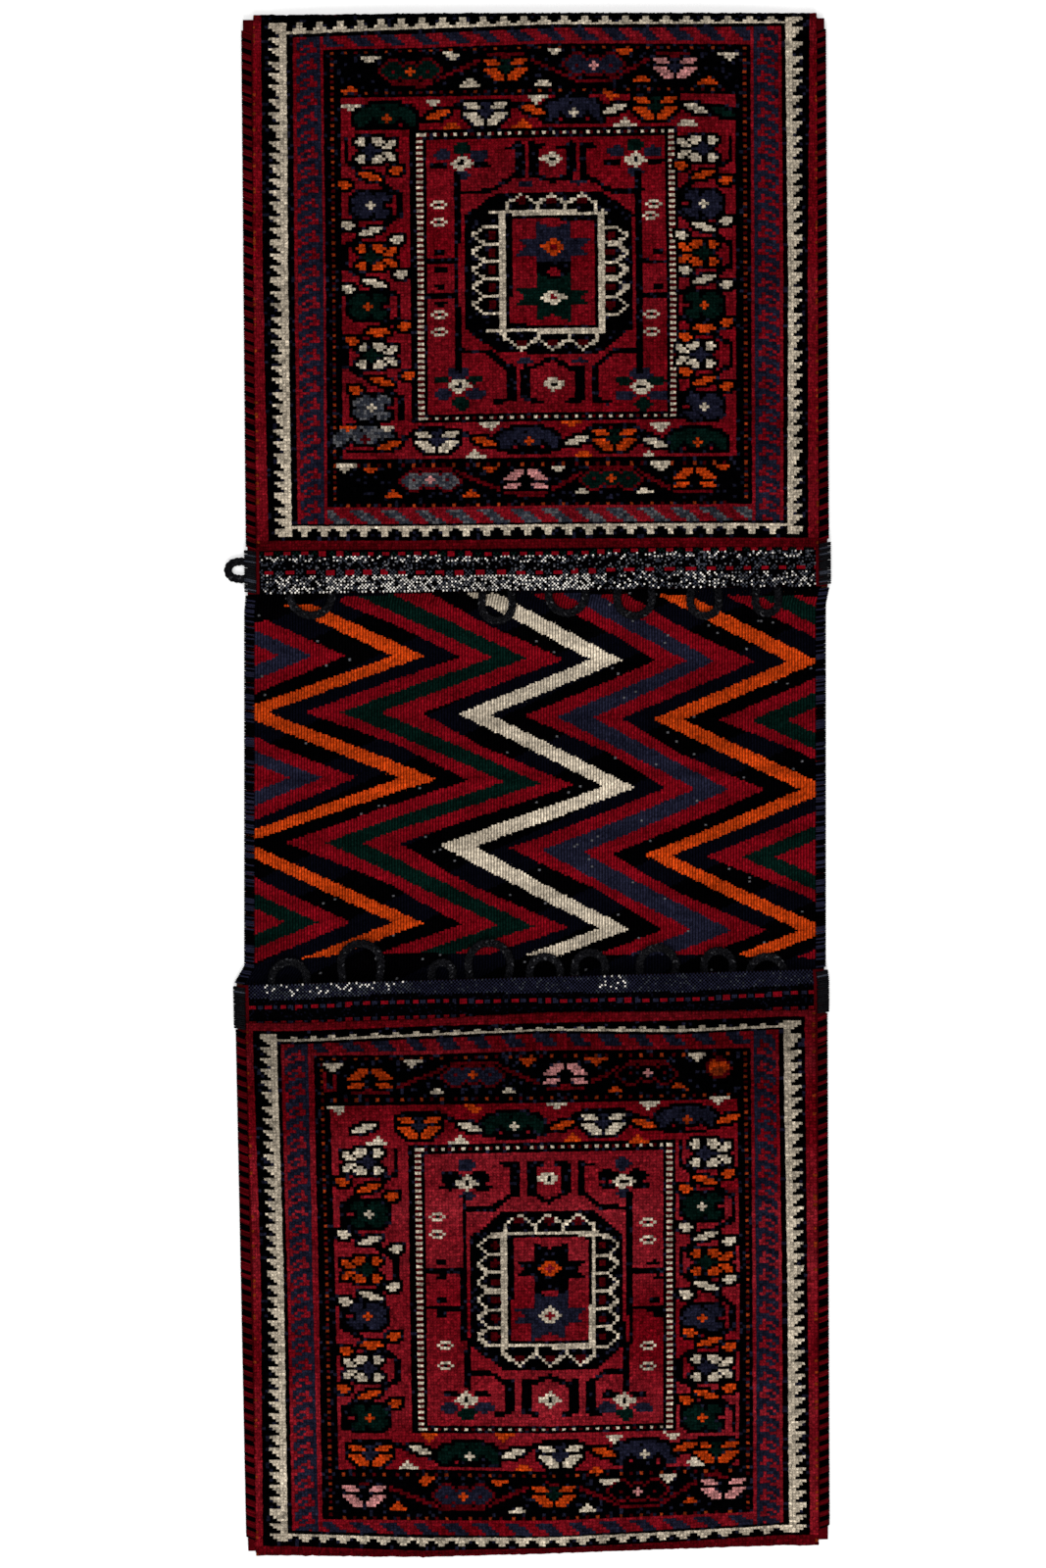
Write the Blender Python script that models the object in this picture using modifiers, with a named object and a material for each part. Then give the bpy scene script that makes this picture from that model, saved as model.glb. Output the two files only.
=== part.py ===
"""A woven saddle bag, laid flat: two pouches joined by a flat-woven bridge.

One strip of cloth makes both pouches. Its ends fold back over it, pile outwards, and are
overcast to it along the sides. Goat-hair loops close each mouth. +Y runs from the lower
pouch to the upper one, +X to the right, +Z up. The origin is under the middle of the bridge.
"""
import math
from typing import NamedTuple

import bmesh
import bpy
import numpy as np
from mathutils import Vector

# Cloth, in metres
CLOTH_WIDTH = 0.494
BRIDGE_LENGTH = 0.330
POUCH_DEPTH = 0.4865
KILIM_THICKNESS = 0.003
PILE_THICKNESS = 0.007

# Heights of the empty pouch between its back and its front
FOLD_RISE = 0.0045
MIDDLE_RISE = 0.011
MOUTH_RISE = 0.009
LAYER_GAP = 0.0004

# Plain margins of the cloth at each side
ARM = 0.007
FLAT_MARGIN = 0.010
BORDER_SLOPE = 0.012

# Overcasting
CLEARANCE = 0.0003
SKIN = 0.0015
CORNER_SKIN = 0.003
CORNER_LENGTH = 0.038
SEAM_STEP = 0.035

# Frames of a pile face, each measured inwards from the one before
TOOTH_FRAME = 0.016
HOOK_GUARD = 0.026
DOT_GUARD = 0.015
FLOWER_BAND = 0.054
INNER_GUARD = 0.018
FIELD_ROWS = 6
TOP_FRAMES = (0.009, 0.013, 0.006, 0.029, 0.006, 0.028, 0.007)
BOTTOM_FRAMES = (0.010, 0.010, 0.018, 0.034, 0.006, 0.028, 0.007)

# Medallion in the field
MEDALLION_HALF = 0.069
MEDALLION_CORNER = 0.026
PANEL_HALF_WIDTH = 0.043
PANEL_HALF_HEIGHT = 0.050
PANEL_FRAME = 0.006
STAR_HALF = 0.020
FLOWER_HALF = 0.012
FLOWER_HUES = ("ivory", "navy", "orange", "green")
SAME_PLACE = 0.004

# Mouth band: distances from the pile to each ridge of twining
BAND_DEPTH = 0.037
RIDGE_PLACES = (0.004, 0.021)
RIDGE_HALF = 0.0022
RIDGE_THICKNESS = 0.0042

# Zigzag of the bridge: rows where it turns, from the middle, and widths of its stripes
ZIGZAG_TURNS = (-0.171, -0.119, -0.054, 0.002, 0.060, 0.109, 0.166)
ZIGZAG_SWING = 0.121
ZIGZAG_START = -0.2167
STRIPES = (
    ("red", None), ("navy", 0.027), ("red", 0.029), ("black", 0.040), ("orange", 0.027),
    ("black", 0.031), ("red", 0.027), ("green", 0.030), ("red", 0.031), ("black", 0.023),
    ("ivory", 0.028), ("black", 0.028), ("red", 0.026), ("navy", 0.025), ("red", 0.033),
    ("black", 0.028), ("orange", 0.027), ("black", 0.030), ("red", 0.027), ("green", 0.030),
    ("red", 0.400),
)

# Bands of natural colour across each back, as shares of its length
BACK_BANDS = ((0.12, "brown"), (0.30, "red"), (0.36, "black"), (0.64, "red"), (0.70, "black"),
              (0.88, "red"), (1.01, "brown"))

# Closure loops of braided goat hair
LOOP_CORD = 0.0062
LOOP_ROOT = 0.024
TAB_CORD = 0.007
TAB_PLACE = 0.0205
TAB_REACH = 0.0175
TAB_HALF = 0.0075
# Each loop: place across the mouth, half its width, and how far it lies out of the mouth
UPPER_LOOPS = (
    (-0.190, 0.0186, 0.0194), (-0.135, 0.0120, -0.0060), (-0.0825, 0.0120, -0.0060),
    (-0.0317, 0.0136, 0.0260), (0.0279, 0.0165, 0.0202), (0.0854, 0.0156, 0.0235),
    (0.145, 0.0127, 0.0244), (0.198, 0.0102, 0.0227),
)
LOWER_LOOPS = (
    (-0.2085, 0.0155, 0.0194), (-0.1475, 0.0177, 0.0335), (-0.0783, 0.0094, 0.0152),
    (-0.0383, 0.0186, 0.0310), (0.0092, 0.0136, 0.0177), (0.0475, 0.0136, 0.0202),
    (0.105, 0.0161, 0.0227), (0.1567, 0.0127, 0.0186), (0.198, 0.0155, 0.0125),
)

COLOURS = {
    "red": (0.33, 0.008, 0.020), "navy": (0.020, 0.023, 0.055), "black": (0.004, 0.004, 0.005),
    "orange": (0.75, 0.11, 0.010), "green": (0.004, 0.030, 0.020),
    "ivory": (0.66, 0.56, 0.40), "grey": (0.10, 0.10, 0.11), "brown": (0.10, 0.045, 0.020),
}


class Pouch(NamedTuple):
    """How far the worn edges of one pouch have pulled from true, at its left and right."""

    name: str
    way: int
    mouth: tuple
    fold: tuple
    side_mouth: tuple
    side_fold: tuple
    loops: tuple


UPPER = Pouch("upper", 1, (-0.001, 0.006), (-0.0015, 0.0), (-0.0032, 0.0027), (0.001, -0.0002),
              UPPER_LOOPS)
LOWER = Pouch("lower", -1, (0.004, -0.010), (-0.004, -0.014), (0.0065, 0.001), (-0.0036, 0.003),
              LOWER_LOOPS)
POUCHES = (UPPER, LOWER)
BRIDGE_PULL = (-0.0015, -0.0002)
SIDE_EASE = 0.010

HALF_WIDTH = CLOTH_WIDTH / 2
EASE_START = BRIDGE_LENGTH / 2 - SIDE_EASE
LIFT = SKIN + CLEARANCE
FOLD_ARC = 0.012
FOLD_START = BRIDGE_LENGTH / 2 + POUCH_DEPTH
FRONT_START = FOLD_START + FOLD_ARC
CLOTH_END = FRONT_START + POUCH_DEPTH


def clear_scene():
    for old in list(bpy.data.objects):
        bpy.data.objects.remove(old, do_unlink=True)


def blend(share, low, high):
    """Ease from low to high as share goes from 0 to 1."""
    share = min(max(share, 0.0), 1.0)
    return low + (high - low) * share * share * (3 - 2 * share)


def pouch_at(y):
    return UPPER if y >= 0 else LOWER


def pulled(pair, across):
    """A value at a place across the cloth, from its left and right values."""
    return pair[0] + (pair[1] - pair[0]) * (across + 1) / 2


def mouth_at(pouch, across):
    return pouch.way * (BRIDGE_LENGTH / 2 + pulled(pouch.mouth, across))


def fold_at(pouch, across):
    return pouch.way * (FOLD_START + pulled(pouch.fold, across))


def side_edge(side, y):
    """The cloth's own edge at a height y, on the side -1 or 1."""
    which = 0 if side < 0 else 1
    mouth = BRIDGE_LENGTH / 2
    pouch = pouch_at(y)
    places = (EASE_START, mouth, FOLD_START)
    pulls = (BRIDGE_PULL[which], pouch.side_mouth[which], pouch.side_fold[which])
    return side * (HALF_WIDTH + float(np.interp(abs(y), places, pulls)))


def back_top(x_flat):
    """Upper face of the back and bridge, which the overcasting lifts at both sides."""
    slope_end = HALF_WIDTH - FLAT_MARGIN
    share = (abs(x_flat) - (slope_end - BORDER_SLOPE)) / BORDER_SLOPE
    return KILIM_THICKNESS + LIFT * min(max(share, 0.0), 1.0)


def pouch_rise(x_flat, share):
    """Room between back and front, at a share of the way from the fold to the mouth."""
    bow = 4 * share * (1 - share)
    height = FOLD_RISE + (MOUTH_RISE - FOLD_RISE) * share
    height += (MIDDLE_RISE - (FOLD_RISE + MOUTH_RISE) / 2) * bow
    inwards = abs(x_flat) / (HALF_WIDTH - FLAT_MARGIN)
    if inwards >= 1:
        return LAYER_GAP
    return LAYER_GAP + height * (1 - inwards ** (5 + 11 * share * share))


def lay_out(x_flat, run):
    """Put a point of the woven strip, before folding, where it lies in the finished bag."""
    across = x_flat / HALF_WIDTH
    pouch = pouch_at(run)
    length = abs(run)
    fold = fold_at(pouch, across)
    base = back_top(x_flat)
    if length <= FOLD_START:
        share = (length - BRIDGE_LENGTH / 2) / POUCH_DEPTH
        y = run + (fold - pouch.way * FOLD_START) * blend(share, 0, 1)
        z = base
    elif length < FRONT_START:
        radius = pouch_rise(x_flat, 0) / 2
        turn = math.pi * (length - FOLD_START) / FOLD_ARC
        y = fold + pouch.way * radius * math.sin(turn)
        z = base + radius * (1 - math.cos(turn))
    else:
        share = (length - FRONT_START) / POUCH_DEPTH
        y = fold + (mouth_at(pouch, across) - fold) * share
        z = base + pouch_rise(x_flat, share)
    left, right = side_edge(-1, y), side_edge(1, y)
    return Vector(((left + right) / 2 + across * (right - left) / 2, y, z))


def cloth_thickness(x_flat, run):
    """Pile on the fronts, thin flat weave elsewhere, and ridges of twining at the mouths."""
    length = abs(run)
    if abs(x_flat) > HALF_WIDTH - FLAT_MARGIN - 1e-6:
        return KILIM_THICKNESS
    if length <= FOLD_START:
        return KILIM_THICKNESS
    if length < FRONT_START:
        share = (length - FOLD_START) / FOLD_ARC
        return blend(share, KILIM_THICKNESS, PILE_THICKNESS)
    past_pile = length - (CLOTH_END - BAND_DEPTH)
    if past_pile < 1e-6:
        return PILE_THICKNESS
    for place in RIDGE_PLACES:
        if abs(past_pile - place) < RIDGE_HALF / 2:
            return RIDGE_THICKNESS
    return KILIM_THICKNESS


def frame_columns():
    """Places across the cloth where its frames meet, from the middle out, on one side."""
    places = [HALF_WIDTH, HALF_WIDTH - ARM, HALF_WIDTH - FLAT_MARGIN]
    places.append(places[-1] - BORDER_SLOPE)
    for width in (TOOTH_FRAME, HOOK_GUARD, DOT_GUARD, FLOWER_BAND, INNER_GUARD):
        places.append(places[-1] - width)
    field_half = places[-1]
    places.append(field_half / 2)
    places.append(0.0)
    return places[::-1]


def front_rows():
    """Runs of the frame lines on a front, from its fold to its mouth edge."""
    rows = [FRONT_START]
    for width in TOP_FRAMES:
        rows.append(rows[-1] + width)
    field_end = CLOTH_END - BAND_DEPTH - sum(BOTTOM_FRAMES)
    field_start = rows[-1]
    for k in range(1, FIELD_ROWS + 1):
        rows.append(field_start + (field_end - field_start) * k / FIELD_ROWS)
    for width in BOTTOM_FRAMES[::-1]:
        rows.append(rows[-1] + width)
    pile_end = rows[-1]
    for place in RIDGE_PLACES:
        rows += [pile_end + place - RIDGE_HALF, pile_end + place, pile_end + place + RIDGE_HALF]
    rows.append(CLOTH_END)
    return rows, field_start, field_end


def strip_rows():
    """Every row line of the woven strip, from one mouth edge to the other."""
    half = [FOLD_START + FOLD_ARC * k / 4 for k in range(4)]
    starts = [share for share, colour in BACK_BANDS if share < 1]
    half += [BRIDGE_LENGTH / 2 + POUCH_DEPTH * share for share in [0.0] + starts]
    half.append(EASE_START)
    half += front_rows()[0]
    turns = [t for t in ZIGZAG_TURNS if abs(t) < EASE_START]
    return sorted([-r for r in half] + turns + half)


def stripe_lines(run):
    """Edges of the zigzag stripes at one row of the bridge."""
    turns = ZIGZAG_TURNS
    swings = [0.0 if k % 2 else -ZIGZAG_SWING for k in range(len(turns))]
    shift = float(np.interp(run, turns, swings))
    lines, place = [], ZIGZAG_START + shift
    for colour, width in STRIPES[:-1]:
        if width is not None:
            place += width
        lines.append(place)
    return lines


def cut_line(sheet, faces, start, end):
    """Score one straight line across some faces of the flat strip."""
    along = end - start
    geometry = list(faces)
    for face in faces:
        geometry += list(face.edges) + list(face.verts)
    bmesh.ops.bisect_plane(sheet, geom=list(dict.fromkeys(geometry)), dist=2e-5, plane_co=start,
                           plane_no=Vector((along.y, -along.x, 0)).normalized())


def faces_between(sheet, low, high, half_width=HALF_WIDTH):
    """Faces of the flat strip whose middles lie between two rows and near its middle line."""
    found = []
    for face in sheet.faces:
        centre = face.calc_center_bounds()
        if low < centre.y < high and abs(centre.x) < half_width:
            found.append(face)
    return found


def cut_zigzag(sheet, rows):
    """Score the stripes of the bridge, one stretch between turning rows at a time."""
    bridge = [r for r in rows if abs(r) <= BRIDGE_LENGTH / 2 + 1e-6]
    for low, high in zip(bridge, bridge[1:]):
        for start, end in zip(stripe_lines(low), stripe_lines(high)):
            if max(start, end) < -HALF_WIDTH or min(start, end) > HALF_WIDTH:
                continue
            cut_line(sheet, faces_between(sheet, low, high), Vector((start, low, 0)),
                     Vector((end, high, 0)))


def cut_shape(sheet, points, low, high, half_width):
    """Score the outline of a simple shape into the faces around it."""
    for start, end in zip(points, points[1:] + points[:1]):
        near = faces_between(sheet, low, high, half_width)
        cut_line(sheet, near, Vector((*start, 0)), Vector((*end, 0)))


def diamond(x, y, half_x, half_y):
    return [(x - half_x, y), (x, y - half_y), (x + half_x, y), (x, y + half_y)]


def octagon(x, y, half, corner):
    inner = half - corner
    corners = ((-half, -inner), (-inner, -half), (inner, -half), (half, -inner),
               (half, inner), (inner, half), (-inner, half), (-half, inner))
    return [(x + dx, y + dy) for dx, dy in corners]


def inside(point, shape):
    """Whether a flat point lies in a convex outline that runs one way round."""
    signs = set()
    for start, end in zip(shape, shape[1:] + shape[:1]):
        turn = (end[0] - start[0]) * (point.y - start[1]) - (end[1] - start[1]) * (
            point.x - start[0])
        signs.add(turn > 0)
    return len(signs) == 1


def medallion_shapes(way):
    """The medallion's outline, framed panel and two stars, with their colours."""
    rows, field_start, field_end = front_rows()
    middle = way * (field_start + field_end) / 2
    width, height = PANEL_HALF_WIDTH, PANEL_HALF_HEIGHT
    panel = [(-width, middle - height), (width, middle - height), (width, middle + height),
             (-width, middle + height)]
    width, height = width - PANEL_FRAME, height - PANEL_FRAME
    core = [(-width, middle - height), (width, middle - height), (width, middle + height),
            (-width, middle + height)]
    shapes = [("navy", octagon(0, middle, MEDALLION_HALF, MEDALLION_CORNER)), ("ivory", panel),
              ("red", core)]
    for sign, colour in ((-1, "green"), (1, "navy")):
        centre = middle + sign * PANEL_HALF_HEIGHT / 2
        shapes.append((colour, diamond(0, centre, STAR_HALF, STAR_HALF)))
    return shapes


def cut_medallion(sheet, way):
    rows, field_start, field_end = front_rows()
    low, high = sorted((way * field_start, way * field_end))
    columns = frame_columns()
    shapes = medallion_shapes(way)
    cut_shape(sheet, shapes[0][1], low, high, columns[2])
    middle = (low + high) / 2
    for colour, panel in shapes[1:3]:
        cut_shape(sheet, panel, middle - MEDALLION_HALF, middle + MEDALLION_HALF, MEDALLION_HALF)
    for sign, (colour, outline) in zip((-1, 1), shapes[3:]):
        start, end = sorted((middle, middle + sign * PANEL_HALF_HEIGHT))
        cut_shape(sheet, outline, start, end, PANEL_HALF_WIDTH)
    return shapes


def flower_places():
    """Where each flower stands, as a place across the cloth, a run along it and a hue."""
    rows, field_start, field_end = front_rows()
    field_half, band_inner, band_outer = frame_columns()[2:5]
    band_middle = (band_inner + band_outer) / 2
    across = [field_half * share for share in (-0.75, -0.25, 0.25, 0.75)]
    across = [-band_middle] + across + [band_middle]
    top = FRONT_START + sum(TOP_FRAMES[:3])
    bottom = field_end + sum(BOTTOM_FRAMES[4:])
    runs = [top + TOP_FRAMES[3] / 2, top + sum(TOP_FRAMES[3:5]) + TOP_FRAMES[5] / 2]
    step = (field_end - field_start) / FIELD_ROWS
    runs += [field_start + step * (k + 0.5) for k in range(FIELD_ROWS)]
    runs += [field_end + BOTTOM_FRAMES[6] + BOTTOM_FRAMES[5] / 2, bottom + BOTTOM_FRAMES[3] / 2]
    places = []
    for row, run in enumerate(runs):
        beside_field = 2 <= row < 2 + FIELD_ROWS
        for column, x in enumerate(across):
            if not beside_field or column in (0, len(across) - 1):
                places.append((x, run, FLOWER_HUES[(row + column) % len(FLOWER_HUES)]))
    return places


def cut_flowers(sheet, way):
    """A flower lozenge in each cell of the flower bands round the field."""
    flowers = []
    for x, run, hue in flower_places():
        y = way * run
        for face in faces_between(sheet, y - SAME_PLACE, y + SAME_PLACE):
            if abs(face.calc_center_bounds().x - x) < SAME_PLACE:
                reach = [v.co.y for v in face.verts]
        low, high = min(reach), max(reach)
        shape = diamond(x, y, FLOWER_HALF * 1.3, min(FLOWER_HALF, (high - low) * 0.4))
        for start, end in zip(shape, shape[1:] + shape[:1]):
            near = [f for f in faces_between(sheet, low, high)
                    if abs(f.calc_center_bounds().x - x) < FLOWER_BAND / 2 - SAME_PLACE]
            cut_line(sheet, near, Vector((*start, 0)), Vector((*end, 0)))
        flowers.append((hue, shape))
    return flowers


def frame_colour(x_flat, length):
    """Colour of a pile face outside its figures, from the frame that a place lies in."""
    columns = frame_columns()
    rows, field_start, field_end = front_rows()
    inwards = abs(x_flat)
    if length < FRONT_START:
        return "red" if length > FOLD_START + FOLD_ARC / 2 else "brown"
    if length > CLOTH_END - BAND_DEPTH:
        past = length - (CLOTH_END - BAND_DEPTH)
        ridge = any(abs(past - place) < RIDGE_HALF for place in RIDGE_PLACES)
        return "red" if ridge else "grey"
    names = ("red", "ivory", "navy", "black", "red", "black", "field")
    sides = int(np.searchsorted([-c for c in columns[7:1:-1]], -inwards))
    top = np.cumsum((FRONT_START,) + TOP_FRAMES)
    bottom = CLOTH_END - BAND_DEPTH - np.cumsum((0,) + BOTTOM_FRAMES)
    from_top = int(np.searchsorted(top, length)) - 1
    from_bottom = int(np.searchsorted(-bottom, -length)) - 1
    top_names = ("ivory", "navy", "black", "black", "grey", "red", "black", "field")
    bottom_names = ("red", "ivory", "navy", "black", "grey", "red", "black", "field")
    depth = min(sides, from_top + 1, from_bottom)
    if depth >= 6 or sides >= 6:
        if from_top <= 6:
            return top_names[from_top]
        if from_bottom <= 6:
            return bottom_names[from_bottom]
        return "red"
    if from_top + 1 <= sides:
        return top_names[from_top]
    if from_bottom < sides:
        return bottom_names[from_bottom]
    return names[sides]


def strip_colour(centre, figures):
    """Colour of one face of the flat strip."""
    length = abs(centre.y)
    for colour, outline in figures:
        if inside(centre, outline):
            return colour
    if length < BRIDGE_LENGTH / 2:
        index = int(np.searchsorted(stripe_lines(centre.y), centre.x))
        return STRIPES[index][0]
    if length < FOLD_START:
        share = (length - BRIDGE_LENGTH / 2) / POUCH_DEPTH
        for limit, colour in BACK_BANDS:
            if share < limit:
                return colour
    if abs(centre.x) > HALF_WIDTH - FLAT_MARGIN:
        return "red"
    return frame_colour(centre.x, length)


def flat_strip():
    """The strip as it comes off the loom: one flat sheet, scored along its colour fields."""
    columns = frame_columns()
    places = sorted([-c for c in columns[1:]] + columns)
    rows = strip_rows()
    sheet = bmesh.new()
    bmesh.ops.create_grid(sheet, x_segments=len(places) - 1, y_segments=len(rows) - 1, size=1)
    step_x, step_y = 2 / (len(places) - 1), 2 / (len(rows) - 1)
    for vert in sheet.verts:
        column = round((vert.co.x + 1) / step_x)
        row = round((vert.co.y + 1) / step_y)
        vert.co = (places[column], rows[row], 0)
    cut_zigzag(sheet, rows)
    figures = []
    for way in (1, -1):
        shapes = cut_medallion(sheet, way)
        figures += shapes[::-1]
        figures += cut_flowers(sheet, way)
    for face in sheet.faces:
        colour = strip_colour(face.calc_center_median(), figures)
        face.material_index = list(COLOURS).index(colour)
    return sheet


def fold_strip(sheet, woven):
    """Fold the flat strip into two pouches and give it the thickness of its weave."""
    weights = []
    for vert in sheet.verts:
        weights.append(cloth_thickness(vert.co.x, vert.co.y) / PILE_THICKNESS)
        vert.co = lay_out(vert.co.x, vert.co.y)
    for face in sheet.faces:
        face.normal_flip()
    sheet.to_mesh(woven.data)
    sheet.free()
    group = woven.vertex_groups.new(name="thickness")
    for index, weight in enumerate(weights):
        group.add([index], weight, "REPLACE")
    solid = woven.modifiers.new("Weave", "SOLIDIFY")
    solid.thickness = PILE_THICKNESS
    solid.offset = 1
    solid.vertex_group = group.name
    merge = woven.modifiers.new("Merge flat faces", "DECIMATE")
    merge.decimate_type = "DISSOLVE"
    merge.angle_limit = math.radians(0.05)
    merge.delimit = {"MATERIAL"}


def make_material(name, colour):
    material = bpy.data.materials.new(name)
    material.use_nodes = True
    shader = material.node_tree.nodes["Principled BSDF"]
    shader.inputs["Base Color"].default_value = (*colour, 1)
    shader.inputs["Roughness"].default_value = 0.9
    shader.inputs["Metallic"].default_value = 0
    return material


def new_piece(name, bag, material):
    piece = bpy.data.objects.new(name, bpy.data.meshes.new(name))
    bag.objects.link(piece)
    if material:
        piece.data.materials.append(material)
    return piece


def loft(piece, rings):
    """Skin a run of like rings and close both ends."""
    body = bmesh.new()
    made = [[body.verts.new(point) for point in ring] for ring in rings]
    count = len(rings[0])
    for low, high in zip(made, made[1:]):
        for k in range(count):
            body.faces.new((low[k], low[(k + 1) % count], high[(k + 1) % count], high[k]))
    body.faces.new(made[0])
    body.faces.new(made[-1])
    bmesh.ops.recalc_face_normals(body, faces=body.faces)
    body.to_mesh(piece.data)
    body.free()


def binding_ring(side, y, layers, skin):
    """Section of the overcasting round one or two layers of cloth at the side edge."""
    edge = side_edge(side, y)
    inner = edge - side * ARM
    wall = edge + side * CLEARANCE
    outer = wall + side * skin
    under = LIFT - CLEARANCE
    over = LIFT + layers * KILIM_THICKNESS + (layers - 1) * LAYER_GAP + CLEARANCE
    top = over + skin
    section = ((inner, 0), (wall, 0), (outer, 0.3 * top), (outer, 0.7 * top), (wall, top),
               (inner + side * skin, top), (inner, over), (wall, over), (wall, under),
               (inner, under))
    return [Vector((x, y, z)) for x, z in section]


def side_binding(name, bag, material, side, span, layers, skin):
    """Overcasting along a side between two heights."""
    low, high = sorted(span)
    count = max(2, round((high - low) / SEAM_STEP) + 1)
    bends = [way * place for way in (-1, 1) for place in (EASE_START, BRIDGE_LENGTH / 2)]
    heights = sorted(list(np.linspace(low, high, count)) + [y for y in bends if low < y < high])
    loft(new_piece(name, bag, material), [binding_ring(side, y, layers, skin) for y in heights])


def add_bindings(bag, materials):
    """Side seams, corner wraps and the bridge's selvedge bindings, end to end."""
    for side, hand in ((-1, "left"), (1, "right")):
        mouths = {}
        for pouch in POUCHES:
            mouth = mouth_at(pouch, side)
            mouths[pouch.name] = mouth
            corner_end = mouth + pouch.way * CORNER_LENGTH
            wrap = (mouth + pouch.way * CLEARANCE, corner_end)
            side_binding(f"{pouch.name}_{hand}_corner_wrap", bag, materials["black"], side,
                         wrap, 2, CORNER_SKIN)
            seam = (corner_end + pouch.way * CLEARANCE, fold_at(pouch, side) - pouch.way * ARM)
            side_binding(f"{pouch.name}_{hand}_side_seam", bag, materials["red"], side, seam,
                         2, SKIN)
        span = (mouths["lower"] + 2 * CLEARANCE, mouths["upper"] - 2 * CLEARANCE)
        side_binding(f"bridge_{hand}_selvedge", bag, materials["navy"], side, span, 1, SKIN)


def cord_piece(name, bag, material, points, thickness):
    """A cord along a run of points, with closed ends."""
    path = bpy.data.curves.new(name, "CURVE")
    path.dimensions = "3D"
    path.bevel_depth = thickness / 2
    path.bevel_resolution = 1
    path.use_fill_caps = True
    spline = path.splines.new("POLY")
    spline.points.add(len(points) - 1)
    for point, place in zip(spline.points, points):
        point.co = (*place, 1)
    path.materials.append(material)
    piece = bpy.data.objects.new(name, path)
    bag.objects.link(piece)


def loop_points(pouch, place, half, reach):
    """A closure loop: two tails on the back inside the mouth, and a bight on the bridge."""
    mouth = mouth_at(pouch, place / HALF_WIDTH)
    radius = LOOP_CORD / 2
    height = back_top(abs(place) + half + radius) + CLEARANCE + radius
    bow = min(half, (reach + LOOP_ROOT) * 0.6)
    turn_line = reach - bow
    root = half * 0.62
    path = [(-root, -LOOP_ROOT), (-(root + half) / 2, (turn_line - LOOP_ROOT) / 2)]
    for k in range(7):
        angle = math.pi * k / 6
        path.append((-half * math.cos(angle), turn_line + bow * math.sin(angle)))
    path += [(-x, out) for x, out in path[1::-1]]
    return [(place + x, mouth - pouch.way * out, height) for x, out in path]


def add_loops(bag, material):
    for pouch in POUCHES:
        for number, (place, half, reach) in enumerate(pouch.loops, 1):
            cord_piece(f"{pouch.name}_closure_loop_{number}", bag, material,
                       loop_points(pouch, place, half, reach), LOOP_CORD)


def add_side_tab(bag, material):
    """A short goat-hair tab that stands out of the upper left corner."""
    middle = mouth_at(UPPER, -1) + TAB_PLACE
    wall = side_edge(-1, middle) - CLEARANCE - CORNER_SKIN
    tip = wall - TAB_REACH + TAB_CORD / 2
    start = wall - CLEARANCE
    points = [(start, middle + TAB_HALF)]
    for k in range(5):
        angle = math.pi * k / 4
        points.append((tip + TAB_HALF * (1 - math.sin(angle)), middle + TAB_HALF * math.cos(angle)))
    points.append((start, middle - TAB_HALF))
    cord_piece("side_tab", bag, material, [(x, y, TAB_CORD / 2) for x, y in points], TAB_CORD)


def main():
    clear_scene()
    bag = bpy.data.collections.new("saddle_bag")
    bpy.context.scene.collection.children.link(bag)
    materials = {name: make_material(f"{name}_wool", colour) for name, colour in COLOURS.items()}
    goat_hair = make_material("goat_hair", (0.012, 0.012, 0.014))
    woven = new_piece("woven_strip", bag, None)
    for material in materials.values():
        woven.data.materials.append(material)
    fold_strip(flat_strip(), woven)
    add_bindings(bag, materials)
    add_loops(bag, goat_hair)
    add_side_tab(bag, goat_hair)


main()
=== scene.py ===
"""The kilim saddle bag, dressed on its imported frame: knots, ribs, stitches and braids."""

import math

import bpy
import numpy as np
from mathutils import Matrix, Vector


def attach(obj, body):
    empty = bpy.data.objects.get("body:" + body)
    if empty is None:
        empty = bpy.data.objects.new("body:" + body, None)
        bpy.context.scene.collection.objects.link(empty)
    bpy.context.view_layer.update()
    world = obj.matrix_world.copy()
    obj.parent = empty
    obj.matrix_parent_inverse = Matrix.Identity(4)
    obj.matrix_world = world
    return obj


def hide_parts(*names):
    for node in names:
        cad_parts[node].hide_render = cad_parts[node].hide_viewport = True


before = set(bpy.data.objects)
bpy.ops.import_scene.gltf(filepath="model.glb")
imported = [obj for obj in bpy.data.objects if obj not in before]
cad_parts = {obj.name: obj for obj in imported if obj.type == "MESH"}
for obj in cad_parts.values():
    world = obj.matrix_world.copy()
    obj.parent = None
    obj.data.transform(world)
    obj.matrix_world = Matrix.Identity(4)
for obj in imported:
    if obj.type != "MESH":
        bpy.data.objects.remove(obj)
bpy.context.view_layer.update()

# Sizes of the cloth, in metres, as in the part's source.
CLOTH_WIDTH = 0.494
BRIDGE_LENGTH = 0.330
POUCH_DEPTH = 0.4865
KILIM = 0.003
PILE = 0.007
FOLD_RISE = 0.0045
MIDDLE_RISE = 0.011
MOUTH_RISE = 0.009
LAYER_GAP = 0.0004
ARM = 0.007
FLAT_MARGIN = 0.010
BORDER_SLOPE = 0.012
CLEARANCE = 0.0003
SKIN = 0.0015
CORNER_SKIN = 0.003
CORNER_LENGTH = 0.038
BAND_DEPTH = 0.037
LOOP_CORD = 0.0062
LOOP_ROOT = 0.024
TAB_CORD = 0.007
TAB_PLACE = 0.0205
TAB_REACH = 0.0175
TAB_HALF = 0.0075
BACK_BANDS = ((0.12, "brown"), (0.30, "red"), (0.36, "black"), (0.64, "red"), (0.70, "black"),
              (0.88, "red"), (1.01, "brown"))
HALF_WIDTH = CLOTH_WIDTH / 2
SIDE_EASE = 0.010
EASE_START = BRIDGE_LENGTH / 2 - SIDE_EASE
LIFT = SKIN + CLEARANCE
FOLD_ARC = 0.012
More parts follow.
